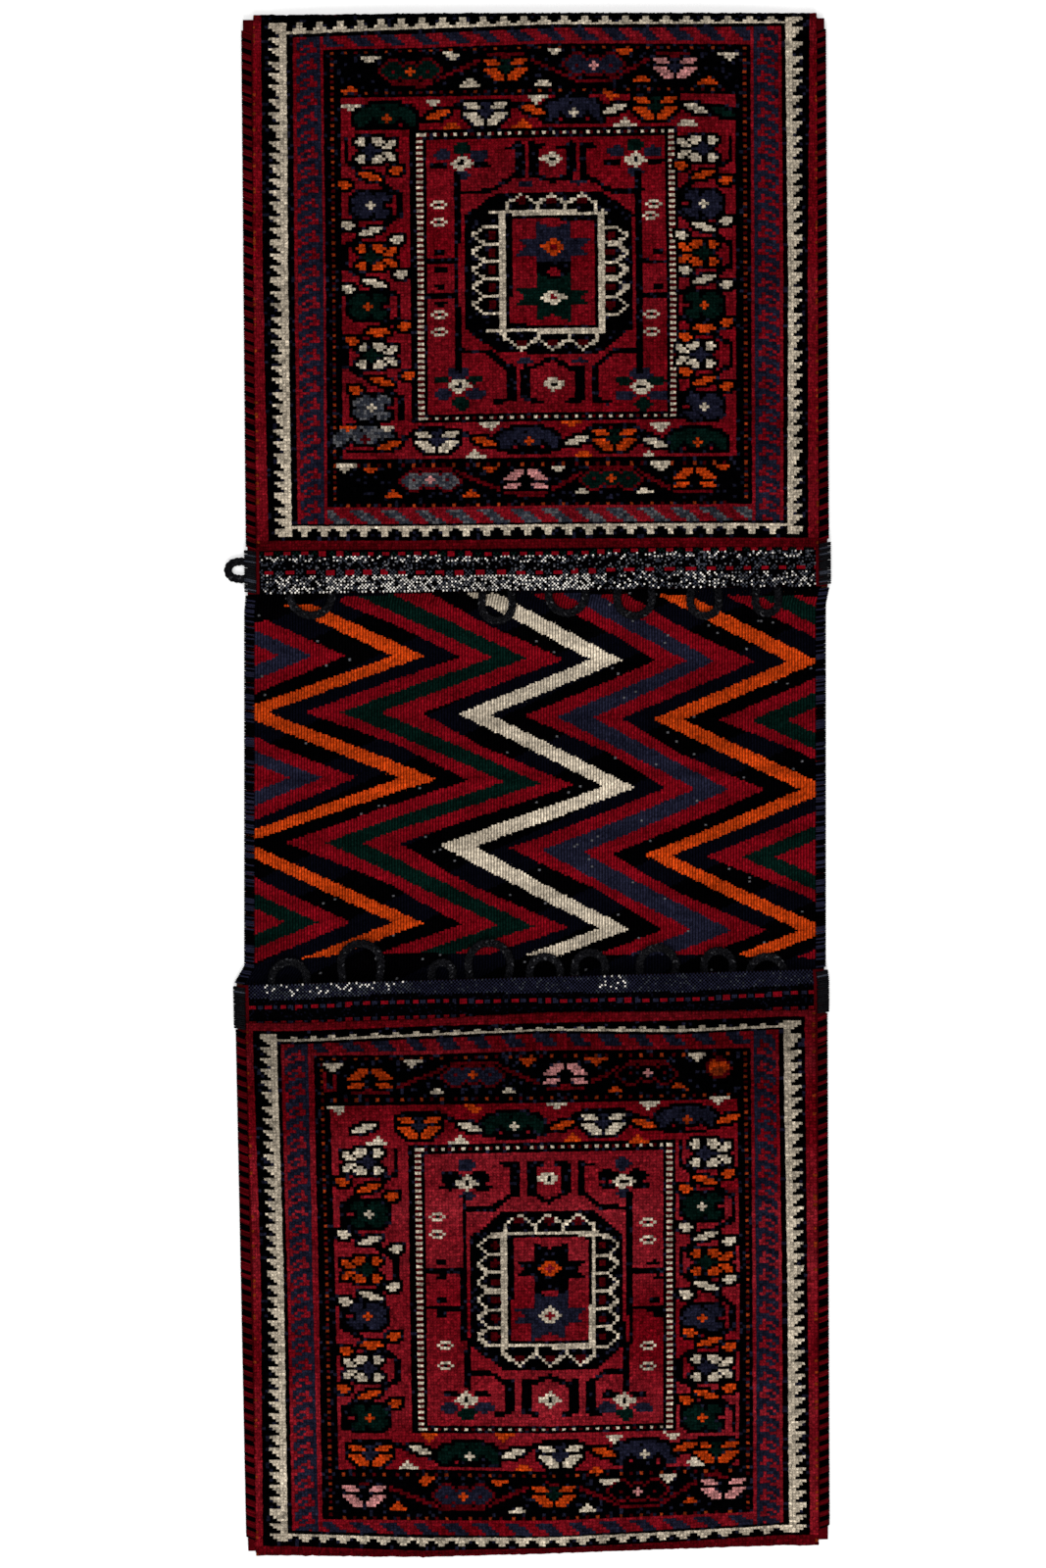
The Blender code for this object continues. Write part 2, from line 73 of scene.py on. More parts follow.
FOLD_START = BRIDGE_LENGTH / 2 + POUCH_DEPTH
FRONT_START = FOLD_START + FOLD_ARC
CLOTH_END = FRONT_START + POUCH_DEPTH
BRIDGE_PULL = (-0.0015, -0.0002)
UPPER = {
    "name": "upper", "way": 1, "mouth": (-0.001, 0.006), "fold": (-0.0015, 0.0),
    "side_mouth": (-0.0032, 0.0027), "side_fold": (0.001, -0.0002),
    "loops": ((-0.190, 0.0186, 0.0194), (-0.135, 0.0120, -0.0060), (-0.0825, 0.0120, -0.0060),
              (-0.0317, 0.0136, 0.0260), (0.0279, 0.0165, 0.0202), (0.0854, 0.0156, 0.0235),
              (0.145, 0.0127, 0.0244), (0.198, 0.0102, 0.0227)),
}
LOWER = {
    "name": "lower", "way": -1, "mouth": (0.004, -0.010), "fold": (-0.004, -0.014),
    "side_mouth": (0.0065, 0.001), "side_fold": (-0.0036, 0.003),
    "loops": ((-0.2085, 0.0155, 0.0194), (-0.1475, 0.0177, 0.0335), (-0.0783, 0.0094, 0.0152),
              (-0.0383, 0.0186, 0.0310), (0.0092, 0.0136, 0.0177), (0.0475, 0.0136, 0.0202),
              (0.105, 0.0161, 0.0227), (0.1567, 0.0127, 0.0186), (0.198, 0.0155, 0.0125)),
}

# The photograph's scale: its pixels to a metre, and the pixel of the bag's own middle.
PICTURE_SCALE = 1200.0
PICTURE_MIDDLE = (545.0, 803.0)
PICTURE_SIZE = (1067, 1600)

DYES = {
    "red": (0.170, 0.0022, 0.0065),
    "deep": (0.055, 0.0010, 0.0025),
    "maroon": (0.095, 0.0014, 0.0040),
    "rose": (0.290, 0.0150, 0.0240),
    "navy": (0.0120, 0.0125, 0.0270),
    "midnight": (0.0030, 0.0031, 0.0072),
    "slate": (0.0330, 0.0370, 0.0500),
    "black": (0.0006, 0.0005, 0.0007),
    "orange": (0.520, 0.0480, 0.0045),
    "rust": (0.250, 0.0300, 0.0060),
    "green": (0.0014, 0.0095, 0.0070),
    "ivory": (0.620, 0.5250, 0.4000),
    "pink": (0.640, 0.2600, 0.2500),
    "brown": (0.060, 0.0250, 0.0120),
    "hair": (0.0060, 0.0060, 0.0072),
    "grey": (0.120, 0.120, 0.130),
    "ash": (0.760, 0.720, 0.660),
}
DYE_NAMES = list(DYES)
DYE_TABLE = np.array([DYES[name] for name in DYE_NAMES])


def dye_number(name):
    return DYE_NAMES.index(name)


def rows(text):
    """Rows of words and numbers, from text with commas between the rows."""
    return [[float(word) if word[-1].isdigit() else word for word in row.split()]
            for row in text.split(",")]


def dyed(dyes, *names):
    """Where dye numbers are those of the names."""
    return np.isin(dyes, [dye_number(name) for name in names])


# The cloth's own shape.

def ease(share):
    share = np.clip(share, 0.0, 1.0)
    return share * share * (3 - 2 * share)


def pulled(pair, across):
    return pair[0] + (pair[1] - pair[0]) * (across + 1) / 2


def mouth_at(pouch, across):
    return pouch["way"] * (BRIDGE_LENGTH / 2 + pulled(pouch["mouth"], across))


def fold_at(pouch, across):
    return pouch["way"] * (FOLD_START + pulled(pouch["fold"], across))


def side_edge(side, y):
    which = 0 if side < 0 else 1
    places = (EASE_START, BRIDGE_LENGTH / 2, FOLD_START)
    y = np.asarray(y, float)
    values = [np.interp(np.abs(y), places, (BRIDGE_PULL[which], p["side_mouth"][which],
                                            p["side_fold"][which])) for p in (UPPER, LOWER)]
    return side * (HALF_WIDTH + np.where(y >= 0, values[0], values[1]))


def across_at(x, y):
    """How far across the bag a point lies: -1 at its left edge, 1 at its right."""
    left, right = side_edge(-1, y), side_edge(1, y)
    return (x - (left + right) / 2) / ((right - left) / 2)


def x_at(across, y):
    left, right = side_edge(-1, y), side_edge(1, y)
    return (left + right) / 2 + across * (right - left) / 2


def back_top(x_flat):
    share = (np.abs(x_flat) - (HALF_WIDTH - FLAT_MARGIN - BORDER_SLOPE)) / BORDER_SLOPE
    return KILIM + LIFT * np.clip(share, 0.0, 1.0)


def pouch_rise(x_flat, share):
    height = FOLD_RISE + (MOUTH_RISE - FOLD_RISE) * share
    height = height + (MIDDLE_RISE - (FOLD_RISE + MOUTH_RISE) / 2) * 4 * share * (1 - share)
    inwards = np.minimum(np.abs(x_flat) / (HALF_WIDTH - FLAT_MARGIN), 1.0)
    return LAYER_GAP + height * (1 - inwards ** (5 + 11 * share * share))


def lay_out(x_flat, run):
    """The inner face of the woven strip, folded into the bag, for arrays of places."""
    across = x_flat / HALF_WIDTH
    length = np.abs(run)
    way = np.where(run >= 0, 1.0, -1.0)
    fold = np.where(run >= 0, fold_at(UPPER, across), fold_at(LOWER, across))
    mouth = np.where(run >= 0, mouth_at(UPPER, across), mouth_at(LOWER, across))
    base = back_top(x_flat)
    back_y = run + (fold - way * FOLD_START) * ease((length - BRIDGE_LENGTH / 2) / POUCH_DEPTH)
    radius = pouch_rise(x_flat, 0.0) / 2
    turn = math.pi * np.clip((length - FOLD_START) / FOLD_ARC, 0, 1)
    arc_y = fold + way * radius * np.sin(turn)
    arc_z = base + radius * (1 - np.cos(turn))
    share = np.clip((length - FRONT_START) / POUCH_DEPTH, 0, 1)
    front_y = fold + (mouth - fold) * share
    front_z = base + pouch_rise(x_flat, share)
    y = np.where(length <= FOLD_START, back_y, np.where(length < FRONT_START, arc_y, front_y))
    z = np.where(length <= FOLD_START, base, np.where(length < FRONT_START, arc_z, front_z))
    return np.stack((x_at(across, y), y, z), -1)


def cloth_thickness(x_flat, run, pile):
    length = np.abs(run)
    front = np.where(length > CLOTH_END - BAND_DEPTH, KILIM, pile)
    arc = KILIM + (pile - KILIM) * ease((length - FOLD_START) / FOLD_ARC)
    thick = np.where(length <= FOLD_START, KILIM, np.where(length < FRONT_START, arc, front))
    return np.where(np.abs(x_flat) > HALF_WIDTH - FLAT_MARGIN - 1e-6, KILIM, thick)


def front_height(pouch, x, y, thickness):
    """Height of a front's outer face over a point, and the point itself where the fold turns."""
    across = across_at(x, y)
    x_flat = across * HALF_WIDTH
    way = pouch["way"]
    fold, mouth = fold_at(pouch, across), mouth_at(pouch, across)
    share = np.clip((y - fold) / (mouth - fold), 0, 1)
    flat_z = back_top(x_flat) + pouch_rise(x_flat, share) + thickness
    beyond = way * (y - fold)
    radius = pouch_rise(x_flat, 0.0) / 2
    turn = np.zeros_like(x)
    for _ in range(8):
        reach = radius + KILIM + (thickness - KILIM) * ease(1 - turn / math.pi)
        turn = np.arcsin(np.clip(beyond / reach, 0, 1))
    arc_z = back_top(x_flat) + radius + reach * np.cos(turn)
    return np.where(beyond > 0, arc_z, flat_z)


def under_fold(pouch, x, turn, thickness):
    """A point of the fold's outer face at an angle past its outermost line."""
    guess = np.full_like(x, pouch["way"] * FOLD_START)
    across = across_at(x, guess)
    x_flat = across * HALF_WIDTH
    radius = pouch_rise(x_flat, 0.0) / 2
    reach = radius + KILIM + (thickness - KILIM) * ease(1 - turn / math.pi)
    y = fold_at(pouch, across) + pouch["way"] * reach * math.sin(turn)
    z = back_top(x_flat) + radius + reach * math.cos(turn)
    return np.stack((x, y, z), -1)


# Meshes and attributes.

# Painted shade on the nodes between knots and painted highlight on their raised middles: ranges of
# factors on each point's colour.
GROOVE_PAINTED_SHADE = (0.35, 0.85)
CREST_PAINTED_HIGHLIGHT = (0.95, 1.65)
KNOT_LIFTS, KNOT_LEAN = (0.55, 1.35), 0.45


def linked(name, data):
    """A new object in the scene, for a mesh, a light or a camera."""
    thing = bpy.data.objects.new(name, data)
    bpy.context.scene.collection.objects.link(thing)
    return thing


def add_piece(name, points, faces, colours=None, edges=(), smooth=True):
    """A mesh object from lists, with one dye for each face or none."""
    mesh = bpy.data.meshes.new(name)
    mesh.from_pydata(np.asarray(points).tolist(), edges, faces)
    if colours is not None:
        paint_faces(mesh, colours)
    mesh.polygons.foreach_set("use_smooth", np.full(len(mesh.polygons), smooth))
    return linked(name, mesh)


def add_grid_piece(name, points, faces, colours, light=None):
    """The same for an array of faces; light makes some points paler or darker, as painted
    highlight and painted shade.
    """
    mesh = bpy.data.meshes.new(name)
    count, corners = faces.shape
    mesh.vertices.add(len(points))
    mesh.vertices.foreach_set("co", points.astype(np.float32).ravel())
    mesh.loops.add(count * corners)
    mesh.loops.foreach_set("vertex_index", faces.astype(np.int32).ravel())
    mesh.polygons.add(count)
    mesh.polygons.foreach_set("loop_start", np.arange(0, count * corners, corners, np.int32))
    mesh.polygons.foreach_set("use_smooth", np.full(count, True))
    mesh.update(calc_edges=True)
    mesh.validate()
    paint_faces(mesh, colours, None if light is None else light[faces])
    return linked(name, mesh)


def paint_faces(mesh, colours, light=None):
    """Store each face's dye as a colour on its corners."""
    sizes = np.empty(len(mesh.polygons), np.int32)
    mesh.polygons.foreach_get("loop_total", sizes)
    layer = mesh.color_attributes.new("dye", "FLOAT_COLOR", "CORNER")
    rgba = np.ones((int(sizes.sum()), 4), np.float32)
    rgba[:, :3] = np.repeat(colours, sizes, axis=0)
    if light is not None:
        rgba[:, :3] *= light.reshape(-1, 1)
    layer.data.foreach_set("color", rgba.ravel())


def cell_corners(first):
    """The numbers of each cell's four corners, from an array of point numbers."""
    return first[:-1, :-1], first[:-1, 1:], first[1:, 1:], first[1:, :-1]


def poked_grid(nodes, rise, rng):
    """Turn a grid of nodes, its rows going down the picture, into knots with raised middles."""
    rows, columns = nodes.shape[0] - 1, nodes.shape[1] - 1
    middle = (nodes[:-1, :-1] + nodes[1:, :-1] + nodes[:-1, 1:] + nodes[1:, 1:]) / 4
    across = nodes[:-1, 1:] - nodes[:-1, :-1]
    along = nodes[1:, :-1] - nodes[:-1, :-1]
    normal = -np.cross(across, along)
    normal /= np.linalg.norm(normal, axis=-1, keepdims=True) + 1e-12
    lift = rise * rng.uniform(*KNOT_LIFTS, (rows, columns, 1))
    lean = rng.normal(0, rise * KNOT_LEAN, (rows, columns, 3))
    middle = middle + normal * lift + lean * np.array((1, 1, 0))
    points = np.concatenate((nodes.reshape(-1, 3), middle.reshape(-1, 3)))
    first = np.arange((rows + 1) * (columns + 1)).reshape(rows + 1, columns + 1)
    centre = np.arange(rows * columns).reshape(rows, columns) + first.size
    a, b, c, d = cell_corners(first)
    sides = [np.stack((q, p, centre), -1) for p, q in ((a, b), (b, c), (c, d), (d, a))]
    # Painted shade between the knots, painted highlight on their raised middles.
    light = np.concatenate((rng.uniform(*GROOVE_PAINTED_SHADE, first.size),
                            rng.uniform(*CREST_PAINTED_HIGHLIGHT, centre.size)))
    return points, np.stack(sides, 2).reshape(-1, 3), light


# Pictured lines and fields.

def to_bag(x, y):
    """A pixel of the photograph as a place on the bag."""
    return (x - PICTURE_MIDDLE[0]) / PICTURE_SCALE, (PICTURE_MIDDLE[1] - y) / PICTURE_SCALE


def to_picture(x, y):
    return PICTURE_MIDDLE[0] + x * PICTURE_SCALE, PICTURE_MIDDLE[1] - y * PICTURE_SCALE


# Where the kilim's stripes turn, and the places of their edges at each turn, in pixels.
STRIPE_TURNS = (604, 672, 731, 800, 868, 946, 1008)
STRIPE_EDGES = rows("""
    217 255 286 313 350 391 433 470 503 538 571 608 637 669 701 737 770 806,
    352 400 433 470 502 537 575 602 635 669 700 729 770 804 836 872 905 940,
    215 238 272 310 347 388 430 467 500 535 568 605 634 666 698 734 767 803,
    363 408 446 478 514 551 585 616 648 679 710 744 781 817 850 886 920 955,
    205 222 250 290 331 369 407 448 485 520 553 595 625 657 685 721 757 791,
    358 400 432 471 509 545 580 612 643 677 706 747 783 816 848 884 918 953,
    208 241 265 299 334 372 410 451 488 523 556 598 628 660 688 724 760 794""")
STRIPE_DYES = ("red", "black", "orange", "black", "red", "green", "red", "black", "ivory",
               "black", "red", "navy", "red", "black", "orange", "black", "red", "green", "red")
# The turns' rows drop to the right, by a fall that is not the same for each turn.
TILT_PLACES = (260, 400, 520, 560, 640, 740, 830)
TILT_ROWS = (-6.5, -6.0, -2.0, 0.0, 3.0, 5.0, 5.0)
TILT_SHARES = (0.4, 0.5, 0.7, 1.1, 1.3, 0.7, 0.5)
# Halfway down each falling slope the reds are thinner on their black side, by this much.
RED_LOSS = 13.0
LOSS_ROWS = (604, 638, 672, 731, 765, 800, 868, 907, 946)
LOSS_SHARES = (0, 0.6, 0, 0, 1, 0, 0, 1, 0)
LOSS_WAYS = np.array((-1, 0, 0, 1, 0, 0, -1, 0, 0, 1, 0, 0, -1, 0, 0, 1, 0, 0))
NEST_STEP = 34
GREEN_NEST_BELOW = 870


def stripe_dyes(x, y):
    """Dye numbers of the bridge's zigzag at places given in pixels, black by the mouth bands for
    the black weave there and for painted shadow.
    """
    high = np.interp(x, (262, 283, 287, 340, 352, 420, 560, 830),
                     (634, 632, 617, 616, 609, 605, 605, 608))
    low = np.interp(x, (262, 330, 420, 560, 700, 830), (984, 976, 972, 976, 974, 978))
    # Beyond these lines, by the mouth bands, the zigzag is black: partly the black weave there,
    # partly painted shadow cast by the bands and loops.
    worn = (y < high) | (y > low)
    y = y - np.interp(x, TILT_PLACES, TILT_ROWS) * np.interp(y, STRIPE_TURNS, TILT_SHARES)
    edges = np.stack([np.interp(y, STRIPE_TURNS, column) for column in zip(*STRIPE_EDGES)], -1)
    edges = edges + RED_LOSS * np.interp(y, LOSS_ROWS, LOSS_SHARES)[..., None] * LOSS_WAYS
    field = (x[..., None] >= edges).sum(-1)
    dyes = np.array([dye_number(name) for name in STRIPE_DYES])[field]
    inwards = edges[..., 0] - x
    nest = (inwards > NEST_STEP) & (inwards < 2 * NEST_STEP)
    dyes = np.where(nest, np.where(y > GREEN_NEST_BELOW, dye_number("green"),
                                   dye_number("navy")), dyes)
    return np.where(worn, dye_number("black"), dyes)


def back_dyes(run):
    """Dye numbers of the plain bands woven across a back."""
    share = (np.abs(run) - BRIDGE_LENGTH / 2) / POUCH_DEPTH
    limits = np.array([limit for limit, name in BACK_BANDS])
    names = np.array([dye_number(name) for limit, name in BACK_BANDS])
    return names[np.clip(np.searchsorted(limits, share), 0, len(names) - 1)]


def shades(dyes, rng, spread=0.10):
    """Dye numbers as colours, each cell a little lighter or darker than its neighbour."""
    colours = DYE_TABLE[dyes]
    return colours * (1 + rng.normal(0, spread, dyes.shape))[..., None].clip(0.55, 1.6)


# The strip's own body.

BODY_COLUMNS = 82
PILE_UNDER = 0.0008
BAND_UNDER = 0.0004
RIBS_PAST = 0.004
BEND_STEP = 1e-4


def body_rows():
    bridge = np.linspace(-BRIDGE_LENGTH / 2, BRIDGE_LENGTH / 2, 97)
    back = np.linspace(BRIDGE_LENGTH / 2, FOLD_START, 60)[1:]
    arc = np.linspace(FOLD_START, FRONT_START, 13)[1:]
    front = np.linspace(FRONT_START, CLOTH_END - BAND_DEPTH, 92)[1:]
    band = np.linspace(CLOTH_END - BAND_DEPTH + BAND_UNDER, CLOTH_END, 8)
    half = np.concatenate((back, arc, front, band))
    return np.concatenate((-half[::-1], bridge, half))


def woven_body():
    """The whole strip as one folded cloth: backs, folds, linings and the ground of its pile."""
    rng = np.random.default_rng(3)
    inner_columns = np.linspace(-1, 1, BODY_COLUMNS - 3) * (HALF_WIDTH - FLAT_MARGIN)
    edges = (HALF_WIDTH, HALF_WIDTH - ARM)
    columns = np.concatenate(([-edge for edge in edges], inner_columns, edges[::-1]))
    rows = body_rows()
    x_flat, run = np.meshgrid(columns, rows)
    inner = lay_out(x_flat, run)
    thick = cloth_thickness(x_flat, run, PILE - PILE_UNDER)
    thick = np.where(np.abs(run) > CLOTH_END - BAND_DEPTH, KILIM - BAND_UNDER, thick)
    bend = lay_out(x_flat, run + BEND_STEP) - lay_out(x_flat, run - BEND_STEP)
    side = lay_out(x_flat + BEND_STEP, run) - lay_out(x_flat - BEND_STEP, run)
    normal = -np.cross(side, bend)
    normal /= np.linalg.norm(normal, axis=-1, keepdims=True)
    outer = inner + normal * thick[..., None]
    points = np.concatenate((inner.reshape(-1, 3), outer.reshape(-1, 3)))
    high, wide = x_flat.shape
    first = np.arange(high * wide).reshape(high, wide)
    shift = high * wide
    a, b, c, d = cell_corners(first)
    faces = [np.stack((a, b, c, d), -1).reshape(-1, 4),
             np.stack((d, c, b, a), -1).reshape(-1, 4) + shift]
    rims = []
    for line in (first[:, 0][::-1], first[:, -1], first[0, :], first[-1, :][::-1]):
        p, q = line[:-1], line[1:]
        rims.append(np.stack((q, p, p + shift, q + shift), -1))
    faces += rims
    middle_x = (x_flat[:-1, :-1] + x_flat[1:, 1:]) / 2
    middle_run = (run[:-1, :-1] + run[1:, 1:]) / 2
    spot = lay_out(middle_x, middle_run)
    bridge = stripe_dyes(*to_picture(spot[..., 0], spot[..., 1]))
    plain = back_dyes(middle_run)
    front = np.full_like(plain, dye_number("deep"))
    dyes_in = np.where(np.abs(middle_run) < BRIDGE_LENGTH / 2 + RIBS_PAST, bridge, plain)
    dyes_in = np.where(np.abs(middle_run) > FRONT_START, dye_number("brown"), dyes_in)
    dyes_out = np.where(np.abs(middle_run) > FOLD_START, front, dyes_in)
    rim_faces = sum(len(r) for r in rims)
    dyes = np.concatenate((dyes_in.ravel(), dyes_out.ravel(),
                           np.full(rim_faces, dye_number("deep"))))
    return add_grid_piece("woven_body", points, np.concatenate(faces), shades(dyes, rng, 0.05))


# Knotted faces.

FADE_ROWS = 23


class Face:
    """A pouch's knotted face: its chart of knots, and where its frame lines lie in pixels."""

    def __init__(self, pouch, fade, tooth_pitch, levels, places, columns, column_lines, rows,
                 row_lines):
        self.pouch, self.fade, self.tooth_pitch = pouch, fade, tooth_pitch
        self.columns, self.rows = np.array(columns), np.array(rows)
        self.column_lines, self.levels = np.array(column_lines), levels
        self.row_lines, self.places = np.array(row_lines), places
        self.across, self.down = columns[-1], rows[-1]
        middles = np.meshgrid(np.arange(self.across) + 0.5, np.arange(self.down) + 0.5)
        self.x, self.y = self.place(*middles)
        self.dyes = np.full(self.x.shape, dye_number("red"))

    def place(self, column, row):
        """The pixel where a place of the chart lies."""
        x = np.interp(column, self.columns, self.column_lines[1])
        for _ in range(2):
            heights = np.stack([np.interp(row, self.rows, line)
                                for line in self.row_lines.T], -1)
            y = between(x, self.places, heights)
            across = np.stack([np.interp(column, self.columns, line)
                               for line in self.column_lines], -1)
            x = between(y, self.levels, across)
        return x, y

    def fading(self, rng):
        """How far each knot's red has gone towards rose: in soft bands and patches."""
        base, swing = self.fade
        rows = np.linspace(self.y.min(), self.y.max(), FADE_ROWS)
        bands = np.interp(self.y, rows, rng.normal(0, 1, FADE_ROWS))
        patch = np.sin(self.x / 47 + 1.3 * np.sin(self.y / 61)) * np.sin(self.y / 39 + self.x / 90)
        return np.clip(base + swing * (0.6 * bands + 0.8 * patch), 0, 1)[..., None]

    def paint(self, mask, dye):
        self.dyes[mask] = dye_number(dye)

    def oval(self, x, y, across, down, dye):
        self.paint(((self.x - x) / across) ** 2 + ((self.y - y) / down) ** 2 < 1, dye)

    def line(self, path, width, dye):
        """A band of a given width along a path."""
        for (x0, y0), (x1, y1) in zip(path[:-1], path[1:]):
            dx, dy = x1 - x0, y1 - y0
            share = ((self.x - x0) * dx + (self.y - y0) * dy) / (dx * dx + dy * dy)
            share = np.clip(share, 0, 1)
            near = np.hypot(self.x - x0 - share * dx, self.y - y0 - share * dy) < width / 2
            self.paint(near, dye)

    def polygon(self, corners, dye):
        inside = np.zeros(self.x.shape, bool)
        for (x0, y0), (x1, y1) in zip(corners, corners[1:] + corners[:1]):
            if y0 == y1:
                continue
            crosses = (y0 > self.y) != (y1 > self.y)
            inside ^= crosses & (self.x < x0 + (self.y - y0) * (x1 - x0) / (y1 - y0))
        self.paint(inside, dye)

    def dots(self, rows, columns, dye):
        """A row or a column of knots, each second one deep red."""
        for knots, name in ((slice(0, None, 2), dye), (slice(1, None, 2), "deep")):
            row = rows[knots] if np.ndim(rows) else rows
            column = columns[knots] if np.ndim(columns) else columns
            self.dyes[row, column] = dye_number(name)

    def block(self, columns, rows, dye):
        self.dyes[rows[0]:rows[1], columns[0]:columns[1]] = dye_number(dye)


def between(value, places, columns):
    """Values at uneven places, from the columns measured at a few of them."""
    place = np.clip(np.interp(value, places, np.arange(len(places))), 0, len(places) - 1.001)
    low = place.astype(int)
    share = place - low
    first = np.take_along_axis(columns, low[..., None], -1)[..., 0]
    second = np.take_along_axis(columns, low[..., None] + 1, -1)[..., 0]
    return first + (second - first) * share


UPPER_FACE = Face(
    UPPER, (0.1, 0.16), 4.35, (20, 285, 548), (300, 430, 560, 690, 800),
    (0, 4, 11, 13, 21, 22, 27, 47, 52, 122, 126, 143, 147, 148, 156, 157, 164, 169),
    rows("""
    258 266 292 298.5 326 329 347 416 434 676 689.5 749.6 765.4 768.5 797 801 826 833,
    258.5 268 294 300.5 330 332.5 349 419 436 680 692.5 750.6 766 769.5 799 804 824 834,
    262 274 298 304 331 334.5 350 421 437.5 681 693 751 767 770.5 799 803 824.5 835"""),
    (0, 3, 7, 8, 13, 15, 27, 30, 40, 43, 138, 141, 153, 155, 167, 169, 175, 176, 180, 181, 184),
    rows("""
    14 12.5 12 12 12, 23 18 16 16 16.5, 34.8 29.5 24.9 24.4 23.3, 38 34.5 28.5 28 26.5,
    51.5 49 44.6 44.6 45.6, 57 53 49.5 50 51, 92 90.5 88 86.5 87, 101 99 97 95.5 97,
    134 133 130.5 129 130, 144 143.5 140.5 138.5 139, 424 424 421 420 420, 432 432 430 428 428,
    469 468.7 467 466 465, 478 477.5 476 475 474, 511 511 510 509 508, 518 518 516 515 514,
    535 535 533 532 531, 537 537 535 534 534, 548 548 546 545 545, 552 552 550 549 549,
    561 560.5 559 558 558"""))
LOWER_FACE = Face(
    LOWER, (0.3, 0.34), 4.05, (1060, 1300, 1560), (300, 430, 560, 690, 800),
    (0, 3, 10, 11, 19, 21, 26, 48, 53, 123, 127, 145, 149, 150, 158, 159, 165, 168),
    rows("""
    251 258 282.6 286.5 314 320 335 415 431 676.4 688.3 750.6 765.4 768.5 794 799 821 832,
    258 266 289.5 293 319 325 342 418 434.9 676.4 689.3 754.5 767.4 771 797.5 803 823.5 834,
    261 268 293.5 298 325 329 346.5 422 437 676.4 690 753.5 768.4 772 799 805 826.5 835"""),
    (0, 3, 4, 7, 8, 12, 14, 26, 29, 42, 45, 138, 141, 153, 156, 167, 169, 174, 175, 178, 179,
     182),
    rows("""
    1044 1040 1033 1032 1031, 1052 1047 1043.5 1041 1037, 1055 1049 1045.5 1043.5 1041,
    1063 1057 1051.5 1053 1048, 1065.5 1060 1054 1055.5 1050, 1077 1076 1071.5 1070.5 1068,
    1082 1081 1079 1078 1075, 1117 1116 1115 1113 1110, 1129 1127 1125 1122.5 1119.5,
    1168 1168 1165 1162 1160, 1178 1177.5 1175 1172.5 1171, 1454 1454 1455 1451 1450,
    1462 1462 1462 1459 1457.5, 1499 1499 1501.5 1496 1494.5, 1509 1509.5 1510.5 1507 1504,
    1543 1544.5 1544 1540 1536, 1550 1551 1551.5 1546 1541, 1562 1566 1567.5 1560 1553.5,
    1565 1569 1569 1562.5 1556, 1573 1578 1578 1571 1564, 1578 1582.5 1580 1573 1566.5,
    1588.5 1590 1586.5 1581.5 1578"""))

HOOK = ("....nnnn", "..nnnnnn", ".nnnn.nn", ".nn...nn", ".n.nn..n", "..nn...n")
HOOK_PITCH = 5.8
TOOTH_STEPS = (5.3, 4.4, 3.4, 2.3)
TOP_TEETH = (6, 5, 3, 1.5)
TOOTH_COLUMNS = 6
RUST_SHARE = 0.22
BLOCK_PITCH, BLOCK_LENGTH, BLOCK_LEAN = 9.4, 4.6, 1.2
DOT_PITCH, FIELD_DOT_PITCH = 3.2, 1.6
HORN_WIDTH, TWIG_WIDTH = 9.6, 5.0
FENCE_WIDTH, BAR_WIDTH, RAIL_WIDTH = 3.0, 6.4, 4.2
TOP_FENCE, END_FENCE = -9, 8
TIP_SHARE, HEART_SHARE = 0.42, 0.66


def paint_teeth(face, rng):
    """The ivory teeth that frame the face, long steps first down the sides."""
    c, r = face.columns, face.rows[-21:]
    face.block((c[1], c[16]), (r[0], r[19]), "black")
    face.block((0, c[17]), (r[19], r[20]), "maroon")
    for column in (0, face.across - 1):
        orange = rng.random(face.down) < RUST_SHARE
        face.dyes[orange, column] = dye_number("rust")
    for row in range(r[1], r[18]):
        step = ((row - r[1]) / face.tooth_pitch) % 1.0
        reach = TOOTH_STEPS[int(step * 4)] + rng.random() * 0.6
        reach = int(min(reach, c[2] - c[1] - 1))
        face.block((c[2] - reach, c[2]), (row, row + 1), "ivory")
        face.block((c[15], c[15] + reach), (row, row + 1), "ivory")
    for column in range(c[2] - 2, c[15] + 2):
        middle = abs((column % TOOTH_COLUMNS) - (TOOTH_COLUMNS - 1) / 2) * 2 + 1
        for base, way, deep in ((r[2] - 1, -1, r[2] - r[1]), (r[17], 1, r[18] - r[17])):
            thin = 1 if way < 0 and face.pouch["way"] < 0 else 0
            for step in range(deep - thin):
                if middle <= TOP_TEETH[step + thin * (step > 0)] + 0.5:
                    row = base + way * step
                    face.block((column, column + 1), (row, row + 1), "ivory")


def paint_hooks(face):
    """The red guard of navy hooks, with slanted blocks above and below."""
    c, r = face.columns, face.rows[-21:]
    face.block((c[3], c[14]), (r[3], r[16]), "red")
    for row in range(r[3], r[16]):
        line = HOOK[int(((row - r[3]) / HOOK_PITCH) % 1.0 * 6)]
        for place, knot in enumerate(line):
            if knot == "n":
                for column in (c[3] + place, c[14] - 1 - place):
                    face.dyes[row, column] = dye_number("navy")
    columns = np.arange(c[5], c[12])
    last = "slate" if face.pouch["way"] > 0 else "navy"
    for top, end, dye in ((r[3], r[4] - 1, "navy"), (r[15] + 1, r[16], last)):
        for row in range(top, end):
            blocks = columns[(columns - BLOCK_LEAN * (row - top)) % BLOCK_PITCH < BLOCK_LENGTH]
            face.dyes[row, blocks] = dye_number(dye)


